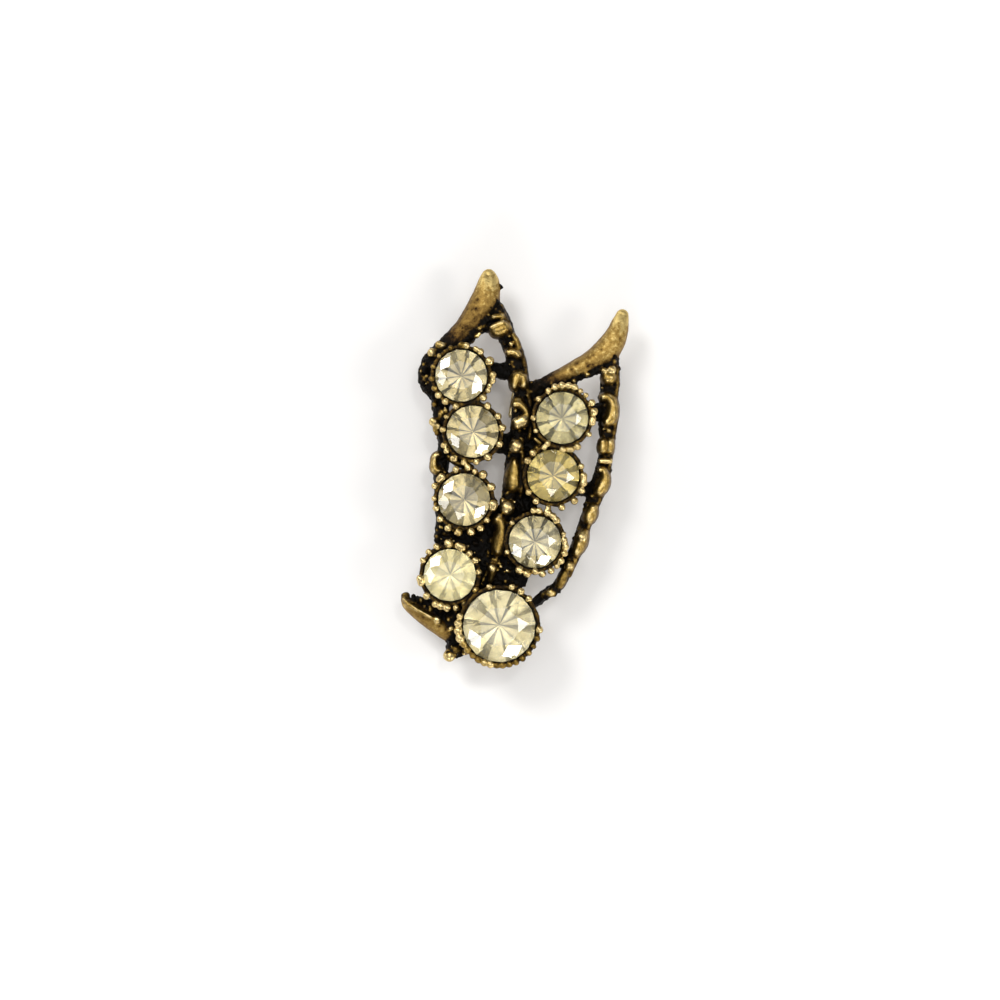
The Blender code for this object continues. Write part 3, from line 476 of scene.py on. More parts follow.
STEM_MELT = 0.08
STUD_MELT = 0.12
STUD_HEAD_MELT = 0.06

# Where the lights look, and the floor's size, in metres
LIT_PLACE = (0.0, 0.0, 0.005)
FLOOR_SIZE = 3.0

# Camera, at the photograph's place over the face
LENS = 100.0
SENSOR = 36.0
FRAME_PX = 1000
AIM_PX = (500.0, 500.0)
AIM_Z = 5.8


def shift():
    """From the brooch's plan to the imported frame, read off the first stone."""
    low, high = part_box("stone_1")
    centre = (low + high) / 2 / METRE
    return np.array([centre.x - STONE_1_PLACE[0] * PITCH, centre.y - STONE_1_PLACE[1] * PITCH])


def at_pixel(px, py):
    """A place on the brooch's face from the photograph's pixels."""
    return np.array([(px - MIDDLE_PX[0]) / PX_PER_MM, (MIDDLE_PX[1] - py) / PX_PER_MM]) + SHIFT


def smooth_lowest(first, second, blend):
    """The lower of two distances, with the crease between them filled."""
    near = np.maximum(blend - np.abs(first - second), 0.0) / blend
    return np.minimum(first, second) - near * near * (blend / 4)


def blurred(values, reach, passes=2):
    """Box blur along each axis, which comes close to a round one after two passes."""
    width = 2 * reach + 1
    for _ in range(passes):
        for axis in range(values.ndim):
            pad = [(0, 0)] * values.ndim
            pad[axis] = (reach + 1, reach)
            sums = np.cumsum(np.pad(values, pad, mode="edge"), axis=axis, dtype=np.float64)
            later = np.take(sums, range(width, sums.shape[axis]), axis=axis)
            sooner = np.take(sums, range(0, sums.shape[axis] - width), axis=axis)
            values = ((later - sooner) / width).astype(np.float32)
    return values


class Field:
    """Distance to the metal on an even grid, negative inside it, and the finish of what lies nearest."""

    def __init__(self, low, high, step):
        self.low = np.array(low, float)
        self.step = step
        count = np.ceil((np.array(high) - self.low) / step).astype(int) + 1
        self.distance = np.full(count, FAR, np.float32)
        self.gild = np.zeros(count, np.float32)
        self.satin = np.zeros(count, np.float32)

    def window(self, low, high):
        """The part of the grid between two corners, and its places along each axis."""
        count = self.distance.shape
        first = np.clip(np.floor((np.array(low) - self.low) / self.step), 0, count).astype(int)
        last = np.clip(np.ceil((np.array(high) - self.low) / self.step) + 1, 0, count).astype(int)
        part = tuple(slice(start, end) for start, end in zip(first, last))
        axes = [self.low[axis] + self.step * np.arange(first[axis], last[axis]) for axis in range(3)]
        return part, axes

    def whole(self):
        return self.window(self.low, self.low + self.step * np.array(self.distance.shape))

    def join(self, part, distance, look, blend=MELT):
        here = self.distance[part]
        nearer = distance < here
        self.gild[part] = np.where(nearer, look.gild, self.gild[part])
        self.satin[part] = np.where(nearer, look.satin, self.satin[part])
        self.distance[part] = smooth_lowest(here, distance, blend)

    def carve(self, part, distance, blend, look=None):
        """Takes a form out of the metal, and gives its walls their own finish."""
        here = self.distance[part]
        if look:
            bared = -distance > here - self.step
            self.gild[part] = np.where(bared, look.gild, self.gild[part])
            self.satin[part] = np.where(bared, look.satin, self.satin[part])
        self.distance[part] = -smooth_lowest(-here, distance, blend)


def dense_rows(places, spacing=0.12):
    """Close points along smooth curves through the rows, and how far along each lies, as a share."""
    knots = np.array(places, float)
    steps = np.hypot(np.diff(knots[:, 0]), np.diff(knots[:, 1]))
    run = np.concatenate([[0.0], np.cumsum(steps)])
    slopes = np.gradient(knots, run, axis=0)
    along = np.linspace(0.0, run[-1], max(int(run[-1] / spacing), 2))
    start = np.clip(np.searchsorted(run, along, side="right") - 1, 0, len(run) - 2)
    length = (run[start + 1] - run[start])[:, None]
    t = (along - run[start])[:, None] / length
    leaving = knots[start] * (2 * t**3 - 3 * t**2 + 1) + slopes[start] * length * (t**3 - 2 * t**2 + t)
    arriving = knots[start + 1] * (3 * t**2 - 2 * t**3) + slopes[start + 1] * length * (t**3 - t**2)
    return leaving + arriving, along


def planned(rows, width, height):
    """Rows of a bar in millimetres: x, y, half width and top."""
    places = []
    for row in rows:
        x, y = row.x * PITCH + SHIFT[0], row.y * PITCH + SHIFT[1]
        places.append((x, y, row.width * width / 2, BACK_Z + row.height * height))
    return places


def add_bar(field, places, base, look, blend=MELT, power=2.6, gilding=None, round_ends=0.8, tip_lift=0.0):
    """A bar with a domed top along its rows, standing on its base. The lift raises the foot of its tip."""
    rows, along = dense_rows(places)
    keep = (along >= rows[0, 2] * round_ends) & (along <= along[-1] - rows[-1, 2] * round_ends)
    if keep.sum() > 1:
        rows, along = rows[keep], along[keep]
    x, y, half, top = rows.T
    reach = half.max() + blend + 2 * field.step
    low = (x.min() - reach, y.min() - reach, base - blend)
    high = (x.max() + reach, y.max() + reach, top.max() + reach)
    part, (gx, gy, gz) = field.window(low, high)
    gap = np.hypot(gx[:, None, None] - x, gy[None, :, None] - y) - half
    nearest = gap.argmin(axis=2)
    wide = half[nearest][:, :, None]
    lift = tip_lift * np.clip(1.0 - along / along[-1] / TIP_SHARE, 0.0, 1.0) ** 2
    foot = base + lift[nearest][:, :, None]
    tall = top[nearest][:, :, None] - foot
    across = np.hypot(gx[:, None] - x[nearest], gy[None, :] - y[nearest])[:, :, None] / wide
    level = np.abs(gz - foot) / np.where(gz > foot, tall, tall * UNDERSIDE_SHARE)
    scale = (wide * across**2 + tall * level**2) / (across**2 + level**2 + 1e-6)
    distance = ((across**power + level**power) ** (1 / power) - 1) * scale
    cut = foot - tall * TIP_CUT_SHARE if tip_lift else base
    distance = np.maximum(distance, cut - gz)
    if gilding:
        shares = along[nearest] / along[-1]
        gild = np.interp(shares, [share for share, _ in gilding], [value for _, value in gilding])
        look = Look(gild[:, :, None], look.satin)
    field.join(part, distance, look, blend)


def round_place(field, centre, reach):
    """The part of the grid round a place, and how far from it each point lies."""
    part, (gx, gy, gz) = field.window(centre - reach, centre + reach)
    flat = (gx[:, None, None] - centre[0]) ** 2 + (gy[None, :, None] - centre[1]) ** 2
    return part, np.sqrt(flat + (gz[None, None, :] - centre[2]) ** 2)


def add_ball(field, centre, radius, look, blend=BEAD_MELT):
    part, away = round_place(field, centre, radius + blend + 2 * field.step)
    field.join(part, away - radius, look, blend)


def add_pit(field, centre, radius):
    part, away = round_place(field, centre, radius + 3 * field.step)
    field.carve(part, away - radius, PIT_MELT, PIT_LOOK)


def upright_place(field, x, y, reach, low, high):
    """The part of the grid round an upright axis, how far from it each point lies, and the heights."""
    part, (gx, gy, gz) = field.window((x - reach, y - reach, low), (x + reach, y + reach, high))
    return part, np.hypot(gx[:, None] - x, gy[None, :] - y)[:, :, None], gz


def add_post(field, x, y, radius, low, high, look, blend=MELT, taper=1.0):
    """An upright round post, narrowed at its foot by the taper."""
    reach = radius + blend + 2 * field.step
    part, away, height = upright_place(field, x, y, reach, low - reach, high + reach)
    share = np.clip((height - low) / (high - low), 0.0, 1.0)
    side = away - radius * (taper + (1 - taper) * share)
    end = np.maximum(low - height, height - high)
    field.join(part, -smooth_lowest(-side, -end, EDGE_ROUND), look, blend)


def seat_z(diameter):
    return BACK_Z + CUP_FLOOR + SEAT_FIT + PAVILION_SHARE * diameter


def rim_z(diameter):
    return seat_z(diameter) + GIRDLE_SHARE * diameter


def stones():
    """Middle and diameter of each stone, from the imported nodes."""
    found = {}
    for name in sorted(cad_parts):
        if "stone" in name:
            low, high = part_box(name)
            centre = (low + high) / 2 / METRE
            found[name] = (centre.x, centre.y, LARGE_STONE_D if name == "large_stone" else STONE_D)
    return found


def add_cups(field):
    for x, y, diameter in stones().values():
        radius = diameter / 2 + STONE_FIT + CUP_WALL
        rim = rim_z(diameter) - RIM_DROP
        add_post(field, x, y, radius, BACK_Z - UNDERCUT, rim, CUP_LOOK, taper=CUP_TAPER)


def add_beads(field):
    for name, (x, y, diameter) in stones().items():
        rim = rim_z(diameter)
        for bead in (Bead(*row) for row in BEADS[name]):
            angle = math.radians(bead.deg)
            spot = np.array([x + bead.out * math.cos(angle), y + bead.out * math.sin(angle)])
            lift = BEAD_LIFT if bead.out < diameter / 2 + PRONG_OUT else 0.0
            # The gild strays from bead to bead, by the last digit of its angle
            gild = bead.gild + BEAD_CHANGE * (((bead.deg * 7) % 10) / 10 - 0.5)
            add_ball(field, np.array([*spot, rim + lift]), bead.diameter / 2 * BEAD_SPREAD, Look(gild, 0.0))
            if bead.out > diameter / 2 + PRONG_OUT:
                radius = bead.diameter * PRONG_SHARE
                add_post(field, *spot, radius, rim - PRONG_L, rim, PRONG_LOOK, BEAD_MELT, PRONG_TAPER)


def bare_seats(field):
    """Hollows the cups for their stones, a little larger than the stones all round."""
    for x, y, diameter in stones().values():
        radius = diameter / 2 + STONE_FIT
        seat = seat_z(diameter) - STONE_FIT / 2
        floor = BACK_Z + CUP_FLOOR
        foot = 2 * STONE_FIT
        reach = radius + 3 * field.step
        part, away, height = upright_place(field, x, y, reach, floor - SEAT_MARGIN, rim_z(diameter))
        slope = math.hypot(seat - floor, radius - foot)
        cone = ((away - radius) * (seat - floor) - (height - seat) * (radius - foot)) / slope
        hollow = np.maximum(np.maximum(away - radius, cone), floor - height)
        field.carve(part, hollow, SEAT_MELT, DARK)


def add_relief(field):
    for stroke in STROKES:
        dots = [Dot(*row) for row in stroke]
        rows = []
        for dot in dots:
            x, y = at_pixel(dot.px, dot.py)
            rows.append((x, y, dot.width_px / PX_PER_MM / 2 * RELIEF_SPREAD, BACK_Z + dot.top))
        gild = RELIEF_GILD * sum(dot.gild for dot in dots) / len(dots)
        widest = 2 * max(row[2] for row in rows)
        base = max(BACK_Z + RELIEF_ROOT, min(row[3] for row in rows) - ROUND_STROKE * widest)
        add_bar(field, rows, base, Look(gild, RELIEF_SATIN), RELIEF_MELT, RELIEF_POWER, round_ends=0.5)
    for dot in (Dot(*row) for row in BALLS):
        radius = dot.width_px / PX_PER_MM / 2 * BALL_SPREAD
        centre = np.array([*at_pixel(dot.px, dot.py), BACK_Z + dot.top - radius])
        add_ball(field, centre, radius, Look(dot.gild, BALL_SATIN), BALL_MELT)
        if dot.top > STALK_OVER + radius:
            add_post(field, *centre[:2], radius * STALK_SHARE, BACK_Z, centre[2], STALK_LOOK, RELIEF_MELT)


def scattered(rng, rows, width, count):
    """Random places along a bar, as x and y."""
    path, _ = dense_rows(planned(rows, width, 1.0))
    picks = path[rng.integers(0, len(path), count)]
    turns = rng.uniform(0, 2 * math.pi, count)
    outs = picks[:, 2] * np.sqrt(rng.uniform(0, 1, count))
    return picks[:, 0] + outs * np.cos(turns), picks[:, 1] + outs * np.sin(turns)


def add_crumbs(field, rng):
    for group in CRUMBS:
        for x, y in zip(*scattered(rng, group.rows, group.width, group.count)):
            radius = rng.uniform(*CRUMB_D) / 2
            top = BACK_Z + rng.uniform(group.low, group.high)
            gold = rng.uniform() < group.gold
            gild = rng.uniform(*(GOLD_CRUMB if gold else DARK_CRUMB))
            radius *= GOLD_CRUMB_SHARE if gold else 1.0
            add_ball(field, np.array([x, y, top - radius]), radius, Look(gild, CRUMB_SATIN))


def pit_horns(field, rng):
    for rows, width, count in PIT_ROWS:
        path, _ = dense_rows(planned(rows, width, 1.0))
        for pick in path[rng.integers(0, len(path), count)]:
            turn = rng.uniform(0, 2 * math.pi)
            out = pick[2] * math.sqrt(rng.uniform())
            spot = np.array([pick[0] + out * math.cos(turn), pick[1] + out * math.sin(turn)])
            cell = np.round((spot - field.low[:2]) / field.step).astype(int)
            column = field.distance[cell[0], cell[1]]
            filled = np.nonzero(column < 0)[0]
            if len(filled):
                top = field.low[2] + filled[-1] * field.step
                radius = rng.uniform(*PIT_D) / 2
                add_pit(field, np.array([*spot, top + radius * PIT_RISE]), radius)


def plate_axes(axes):
    """Grid places in the pin back's own frame, with Y along its plate."""
    lean = math.radians(PLATE_LEAN_DEG)
    x = axes[0][:, None, None] - (PLATE_X * PITCH + SHIFT[0])
    y = axes[1][None, :, None] - (PLATE_Y * PITCH + SHIFT[1])
    across = x * math.cos(lean) + y * math.sin(lean)
    along = y * math.cos(lean) - x * math.sin(lean)
    return across, along, axes[2][None, None, :]


def block(places, size, middle, edge=EDGE_ROUND):
    """Distance to a block with rounded edges."""
    x, y, z = (np.abs(spot - centre) - side / 2 + edge for spot, centre, side in zip(places, middle, size))
    outside = np.sqrt(np.maximum(x, 0) ** 2 + np.maximum(y, 0) ** 2 + np.maximum(z, 0) ** 2)
    return outside + np.minimum(np.maximum(np.maximum(x, y), z), 0) - edge


def add_spine(field):
    part, axes = field.whole()
    size = (*SPINE_SIZE, WEB_H + UNDERCUT)
    middle = (0.0, 0.0, BACK_Z + (WEB_H - UNDERCUT) / 2)
    field.join(part, block(plate_axes(axes), size, middle), BLACK)


def add_studs(field):
    """Two studs on the back that pass through the pin back's plate, with spread heads."""
    lean = math.radians(PLATE_LEAN_DEG)
    head_top = BACK_Z - PLATE_GAP - PLATE_SIZE[2] - STUD_FIT
    for side in (-1, 1):
        x = PLATE_X * PITCH + SHIFT[0] - side * STUD_Y * math.sin(lean)
        y = PLATE_Y * PITCH + SHIFT[1] + side * STUD_Y * math.cos(lean)
        add_post(field, x, y, STUD_D / 2, head_top - STUD_HEAD_T / 2, BACK_Z + STUD_ROOT, OLD_GOLD, STUD_MELT)
        add_post(field, x, y, STUD_HEAD_D / 2, head_top - STUD_HEAD_T, head_top, OLD_GOLD, STUD_HEAD_MELT)


def roughened(field, rng):
    """Sand-cast grain: coarse in the dark hollows, fine on the worn gold."""
    noise = blurred(rng.standard_normal(field.distance.shape).astype(np.float32), 1, passes=1)
    noise /= noise.std()
    coarse = blurred(rng.standard_normal(field.distance.shape).astype(np.float32), 3, passes=1)
    coarse /= coarse.std()
    dark = np.clip(1.0 - DARK_FADE * field.gild, 0.0, 1.0)
    fine_depth = FINE_GRAIN[0] + FINE_GRAIN[1] * dark
    coarse_depth = COARSE_GRAIN[0] + COARSE_GRAIN[1] * dark
    field.distance += noise * fine_depth + coarse * coarse_depth


def build_spray_field():
    field = Field(*SPRAY_BOX, SPRAY_STEP)
    rng = np.random.default_rng(SEED)
    ground = BACK_Z - UNDERCUT
    for rows in WEBS:
        add_bar(field, planned(rows, WEB_W, WEB_H), ground, BLACK, power=WEB_POWER)
    add_spine(field)
    for bar in CROSS_BARS:
        rows = sections((bar.x0, bar.y0, bar.width), (bar.x1, bar.y1, bar.width))
        add_bar(field, planned(rows, CROSS_W, CROSS_H), ground, BLACK, round_ends=CROSS_ENDS)
    for bar in BARS:
        look = Look(0.0, bar.satin)
        places = planned(bar.rows, bar.width, bar.height)
        add_bar(field, places, ground, look, power=bar.power, gilding=bar.gilding, tip_lift=bar.tip_lift)
    for rows in (LEFT_HORN_SHADE, RIGHT_HORN_SHADE):
        add_bar(field, planned(rows, SHADE_W, SHADE_H), ground, FLANK_LOOK, FLANK_MELT, SHADE_POWER)
    add_cups(field)
    add_relief(field)
    add_crumbs(field, rng)
    add_beads(field)
    pit_horns(field, rng)
    part, axes = field.whole()
    below = np.broadcast_to((BACK_Z - axes[2])[None, None, :], field.distance.shape)
    field.distance[part] = -smooth_lowest(-field.distance, -below, BACK_ROUND)
    roughened(field, rng)
    low = axes[2] < BACK_Z + BACK_GOLD_DEPTH
    field.gild[:, :, low] = np.maximum(field.gild[:, :, low], BACK_LOOK.gild)
    field.satin[:, :, low] = BACK_LOOK.satin
    add_studs(field)
    bare_seats(field)
    return field


def build_pin_field():
    """Plate, two ears with a barrel, catch and pin stem, with rounded edges."""
    field = Field(*PIN_BOX, PIN_STEP)
    part, axes = field.whole()
    places = plate_axes(axes)
    across, along, height = places
    plate_top = BACK_Z - PLATE_GAP
    low = plate_top - PLATE_SIZE[2] / 2
    barrel_z = BARREL_RISE + BARREL_D / 2
    ear_y = PLATE_SIZE[1] / 2 - EAR_L / 2
    catch_y = -(PLATE_SIZE[1] / 2 - CATCH_L / 2)
    field.join(part, block(places, PLATE_SIZE, (0.0, 0.0, low)), PIN_LOOK)
    for side in (-1, 1):
        middle = (side * (FOOT_W - EAR_T) / 2, ear_y, low / 2)
        field.join(part, block(places, (EAR_T, EAR_L, low), middle), PIN_LOOK, EAR_MELT)
    shoulder = (FOOT_W, EAR_L, PLATE_SIZE[2])
    field.join(part, block(places, shoulder, (0.0, ear_y, low - PLATE_SIZE[2] / 4)), PIN_LOOK, EAR_MELT)
    catch = block(places, (FOOT_W, CATCH_L, low), (0.0, catch_y, low / 2), CATCH_ROUND)
    field.join(part, np.maximum(catch, -height), PIN_LOOK, CATCH_MELT)
    slot_w = FOOT_W / 2 + PIN_D
    slot_size = (slot_w + 2 * SLOT_PAST, 2 * CATCH_L, SLOT_H)
    slot_middle = (slot_w / 2 - PIN_D + SLOT_PAST, catch_y, barrel_z)
    field.carve(part, block(places, slot_size, slot_middle, SLOT_ROUND), SLOT_MELT)
    turned = np.hypot(along - ear_y, height - barrel_z)
    barrel = np.maximum(turned - BARREL_D / 2, np.abs(across) - (FOOT_W - EAR_T) / 2)
    field.join(part, barrel, PIN_LOOK, EAR_MELT)
    for side in (-1, 1):
        hole = np.hypot(across, along - side * STUD_Y) - STUD_D / 2 - STUD_FIT
        field.carve(part, np.maximum(hole, low - PLATE_SIZE[2] - height), HOLE_MELT)
    drawn = np.clip((along - PIN_END_Y) / PIN_POINT, 0.0, 1.0)
    radius = PIN_D / 2 * (PIN_POINT_SHARE + (1 - PIN_POINT_SHARE) * drawn)
    stem = np.hypot(across, height - barrel_z) - radius
    stem = np.maximum(stem, np.maximum(PIN_END_Y - along, along - ear_y))
    field.join(part, stem, STEM_LOOK, STEM_MELT)
    return field


# The cell's eight corners and twelve edges
CORNERS = np.array([(x, y, z) for x in (0, 1) for y in (0, 1) for z in (0, 1)])
EDGES = [(0, 1), (2, 3), (4, 5), (6, 7), (0, 2), (1, 3), (4, 6), (5, 7), (0, 4), (1, 5), (2, 6), (3, 7)]


def surface(field):
    """Corners and four-sided faces of the surface where the distance is nothing."""
    inside = field.distance < 0
    count = np.zeros(np.array(inside.shape) - 1, np.int8)
    for dx, dy, dz in CORNERS:
        count += inside[dx : dx + count.shape[0], dy : dy + count.shape[1], dz : dz + count.shape[2]]
    cells = np.argwhere((count > 0) & (count < 8))
    number = np.full(count.shape, -1, np.int32)
    number[tuple(cells.T)] = np.arange(len(cells))
    values = np.stack([field.distance[tuple((cells + corner).T)] for corner in CORNERS], axis=1)
    total = np.zeros((len(cells), 3))
    crossings = np.zeros(len(cells))
    for first, second in EDGES:
        start, end = values[:, first], values[:, second]
        crossed = (start < 0) != (end < 0)
        share = np.where(crossed, start / np.where(crossed, start - end, 1.0), 0.0)
        spot = CORNERS[first] + share[:, None] * (CORNERS[second] - CORNERS[first])
        total += np.where(crossed[:, None], spot, 0.0)
        crossings += crossed
    corners = field.low + field.step * (cells + total / crossings[:, None])
    faces = []
    for axis in range(3):
        second, third = (axis + 1) % 3, (axis + 2) % 3
        size = np.array(inside.shape)
        size[axis] -= 1
        here = inside[tuple(slice(0, n) for n in size)]
        offset = np.zeros(3, int)
        offset[axis] = 1
        beyond = inside[tuple(slice(o, o + n) for o, n in zip(offset, size))]
        at = np.argwhere(here != beyond)
        ring = []
        for back_second, back_third in ((1, 1), (0, 1), (0, 0), (1, 0)):
            place = at.copy()
            place[:, second] -= back_second
            place[:, third] -= back_third
            ring.append(number[tuple(place.T)])
        quads = np.stack(ring, axis=1)
        outward = here[tuple(at.T)]
        quads = np.where(outward[:, None], quads, quads[:, ::-1])
        faces.append(quads)
    return corners, np.concatenate(faces)


def gathered(faces, values, count):
    """At each corner, the sum of a value of the faces round it."""
    total = np.zeros((count, 3))
    for turn in range(4):
        for axis in range(3):
            total[:, axis] += np.bincount(faces[:, turn], values[:, axis], count)
    return total


def corner_normals(corners, faces):
    first, second, third, fourth = (corners[faces[:, turn]] for turn in range(4))
    normals = gathered(faces, np.cross(third - first, fourth - second), len(corners))
    return normals / np.maximum(np.linalg.norm(normals, axis=1), 1e-12)[:, None]


def eased(corners, faces, passes, share=0.5):
    """Moves each corner part of the way to the middle of the faces round it, to take out the grid's steps."""
    touching = np.maximum(np.bincount(faces.ravel(), minlength=len(corners)), 1)
    for _ in range(passes):
        pulled = gathered(faces, corners[faces].mean(axis=1), len(corners))
        corners = corners + share * (pulled / touching[:, None] - corners)
    return corners


def mesh_piece(name, corners, faces, normals, layers, finish):
    """One piece of the surface as an object, with its finish layers on its corners."""
    used, faces = np.unique(faces, return_inverse=True)
    faces = faces.reshape(-1, 4)
    mesh = bpy.data.meshes.new(name)
    mesh.vertices.add(len(used))
    mesh.vertices.foreach_set("co", (corners[used] * METRE).astype(np.float32).ravel())
    mesh.loops.add(faces.size)
    mesh.loops.foreach_set("vertex_index", faces.astype(np.int32).ravel())
    mesh.polygons.add(len(faces))
    mesh.polygons.foreach_set("loop_start", np.arange(0, faces.size, 4, dtype=np.int32))
    mesh.polygons.foreach_set("use_smooth", np.ones(len(faces), bool))
    mesh.update(calc_edges=True)
    mesh.validate()
    for layer, values in layers.items():
        attribute = mesh.attributes.new(layer, "FLOAT", "POINT")
        attribute.data.foreach_set("value", values[used].astype(np.float32))
    mesh.normals_split_custom_set_from_vertices(normals[used])
    mesh.materials.append(finish)
    made = bpy.data.objects.new(name, mesh)
    bpy.context.scene.collection.objects.link(made)
    return made


def sampled(values, places):
    """Grid values between the grid's own places, weighted by how near each of the eight round a place is."""
    cells = np.floor(places).astype(int)
    shares = places - cells
    total = np.zeros(len(places))
    for corner in CORNERS:
        weight = np.prod(np.where(corner == 1, shares, 1.0 - shares), axis=1)
        total += weight * values[tuple((cells + corner).T)]
    return total


def finish_layers(field, corners, normals):
    """How much gold shows at each corner: the form's gilding, more where it stands out, less in hollows."""
    metal = np.clip(0.5 - field.distance / field.step / 2, 0.0, 1.0).astype(np.float32)
    near = blurred(metal, NEAR_CELLS)
    wide = blurred(metal, WIDE_CELLS)
    places = (corners - field.low) / field.step
    gild = sampled(blurred(field.gild, 1, passes=1), places)
    satin = sampled(blurred(field.satin, 1, passes=1), places)
    out_near = 0.5 - sampled(near, places)
    out_wide = 0.5 - sampled(wide, places)
    edge = np.clip(out_near + WEAR_FROM, 0.0, WEAR_MOST)
    high = np.clip(out_wide, -HIGH_MOST, HIGH_MOST)
    worn = gild * (WEAR_FLAT + WEAR_EDGE * edge + WEAR_HIGH * high)
    worn += WEAR_RIDGE * np.clip(gild, RIDGE_GILD, 1.0) * np.clip(out_near - RIDGE_FROM, 0.0, RIDGE_MOST)
    facing = np.where(corners[:, 2] < BACK_Z + BACK_GOLD_DEPTH, np.abs(normals[:, 2]), normals[:, 2])
    least = STEEP_LEAST + STEEP_LEAST_SATIN * satin
    worn *= np.clip(STEEP + STEEP_SATIN * satin + STEEP_FACING * facing, least, 1.0)
    hollow = np.clip(-out_near * HOLLOW_NEAR - out_wide * HOLLOW_WIDE, 0.0, 1.0)
    return {"gild": np.clip(worn, 0.0, 1.0), "satin": satin, "hollow": hollow}


# The pieces of the spray, the line between its wings, and where the horn and the foot part from them
PIECES = ["spray_left_horn", "spray_left_wing", "spray_right_wing", "spray_foot"]
CHANNEL_X = 1.25
CHANNEL_LEAN = 0.09
HORN_PIECE_Y = 4.9
FOOT_PIECE_Y = -7.6


def piece_of(middles):
    """Which piece of the spray each face belongs to."""
    x, y = middles[:, 0], middles[:, 1]
    right = x > CHANNEL_X + CHANNEL_LEAN * y
    number = np.where(right, 2, 1)
    number = np.where(~right & (y > HORN_PIECE_Y), 0, number)
    return np.where(y < FOOT_PIECE_Y, 3, number)


class Finish:
    """A new material, with the nodes that the finishes below are made of."""

    def __init__(self, name):
        self.material = bpy.data.materials.new(name)
        self.material.use_nodes = True
        self.nodes = self.material.node_tree.nodes
        self.links = self.material.node_tree.links
        self.inputs = self.nodes["Principled BSDF"].inputs

    def feed(self, socket, value):
        """Sets a socket to a number, or links another node's output to it."""
        if isinstance(value, (int, float)):
            socket.default_value = value
        else:
            self.links.new(value, socket)

    def math(self, operation, first, second):
        made = self.nodes.new("ShaderNodeMath")
        made.operation = operation
        for socket, value in zip(made.inputs, (first, second)):
            self.feed(socket, value)
        return made.outputs["Value"]

    def coloured(self, level, *stops):
        """Colours that follow a level."""
        made = self.nodes.new("ShaderNodeValToRGB")
        elements = made.color_ramp.elements
        while len(elements) < len(stops):
            elements.new(0.5)
        for element, (place, color) in zip(elements, stops):
            element.position = place
            element.color = (*color, 1.0)
        self.links.new(level, made.inputs["Fac"])
        return made.outputs["Color"]

    def mixed(self, share, first, second, blend="MIX"):
        made = self.nodes.new("ShaderNodeMixRGB")
        made.blend_type = blend
        for socket, value in zip(made.inputs, (share, first, second)):
            self.feed(socket, value)
        return made.outputs["Color"]

    def noise(self, scale, detail, roughness=0.6):
        """Fine grain in the object's own space, so that it stays with the metal."""
        spot = self.nodes.new("ShaderNodeTexCoord")
        made = self.nodes.new("ShaderNodeTexNoise")
        made.inputs["Scale"].default_value = scale
        made.inputs["Detail"].default_value = detail
        made.inputs["Roughness"].default_value = roughness
        self.links.new(spot.outputs["Object"], made.inputs["Vector"])
        return made.outputs["Fac"]

    def layer(self, name, output="Fac"):
        made = self.nodes.new("ShaderNodeAttribute")
        made.attribute_name = name
        return made.outputs[output]

    def bumped(self, height, strength, distance):
        made = self.nodes.new("ShaderNodeBump")
        made.inputs["Strength"].default_value = strength
        made.inputs["Distance"].default_value = distance
        self.links.new(height, made.inputs["Height"])
        self.links.new(made.outputs["Normal"], self.inputs["Normal"])


def antique_gold():
    """Worn gold over black patina: the gild layer says where, grain breaks up its edges."""
    finish = Finish("antique_gold_worn")
    finish.inputs["Specular IOR Level"].default_value = 0.04
    satin = finish.layer("satin")
    mottle = finish.noise(scale=2600.0, detail=6.0, roughness=0.65)
    speck = finish.noise(scale=9000.0, detail=3.0)
    broken = finish.math("MULTIPLY", finish.math("SUBTRACT", mottle, 0.5), 1.05)
    fine = finish.math("MULTIPLY", finish.math("SUBTRACT", speck, 0.5), 0.35)
    level = finish.math("ADD", finish.layer("gild"), finish.math("ADD", broken, fine))
    level = finish.math("SUBTRACT", level, finish.math("MULTIPLY", finish.layer("hollow"), 0.55))
    gold = finish.coloured(
        level,
        (0.0, (0.003, 0.0025, 0.002)), (0.22, (0.007, 0.005, 0.003)), (0.36, (0.056, 0.033, 0.008)),
        (0.55, (0.18, 0.110, 0.024)), (0.78, (0.37, 0.247, 0.066)), (1.0, (0.67, 0.515, 0.235)),
    )
    tan = finish.coloured(
        level,
        (0.0, (0.005, 0.004, 0.002)), (0.24, (0.015, 0.009, 0.005)), (0.42, (0.10, 0.054, 0.016)),
        (0.62, (0.225, 0.135, 0.036)), (0.82, (0.35, 0.225, 0.060)), (1.0, (0.66, 0.50, 0.19)),
    )
    finish.links.new(finish.mixed(satin, gold, tan), finish.inputs["Base Color"])
    metal = finish.coloured(level, (0.24, (0.0, 0.0, 0.0)), (0.42, (1.0, 1.0, 1.0)))
    finish.links.new(metal, finish.inputs["Metallic"])
    dull = finish.coloured(
        level, (0.15, (0.36, 0.36, 0.36)), (0.5, (0.34, 0.34, 0.34)), (0.95, (0.22, 0.22, 0.22))
    )
    rough = finish.math("ADD", dull, finish.math("MULTIPLY", satin, 0.22))
    rough = finish.math("ADD", rough, finish.math("MULTIPLY", speck, 0.12))
    finish.links.new(rough, finish.inputs["Roughness"])
    finish.bumped(speck, strength=0.35, distance=0.00004)
    return finish.material


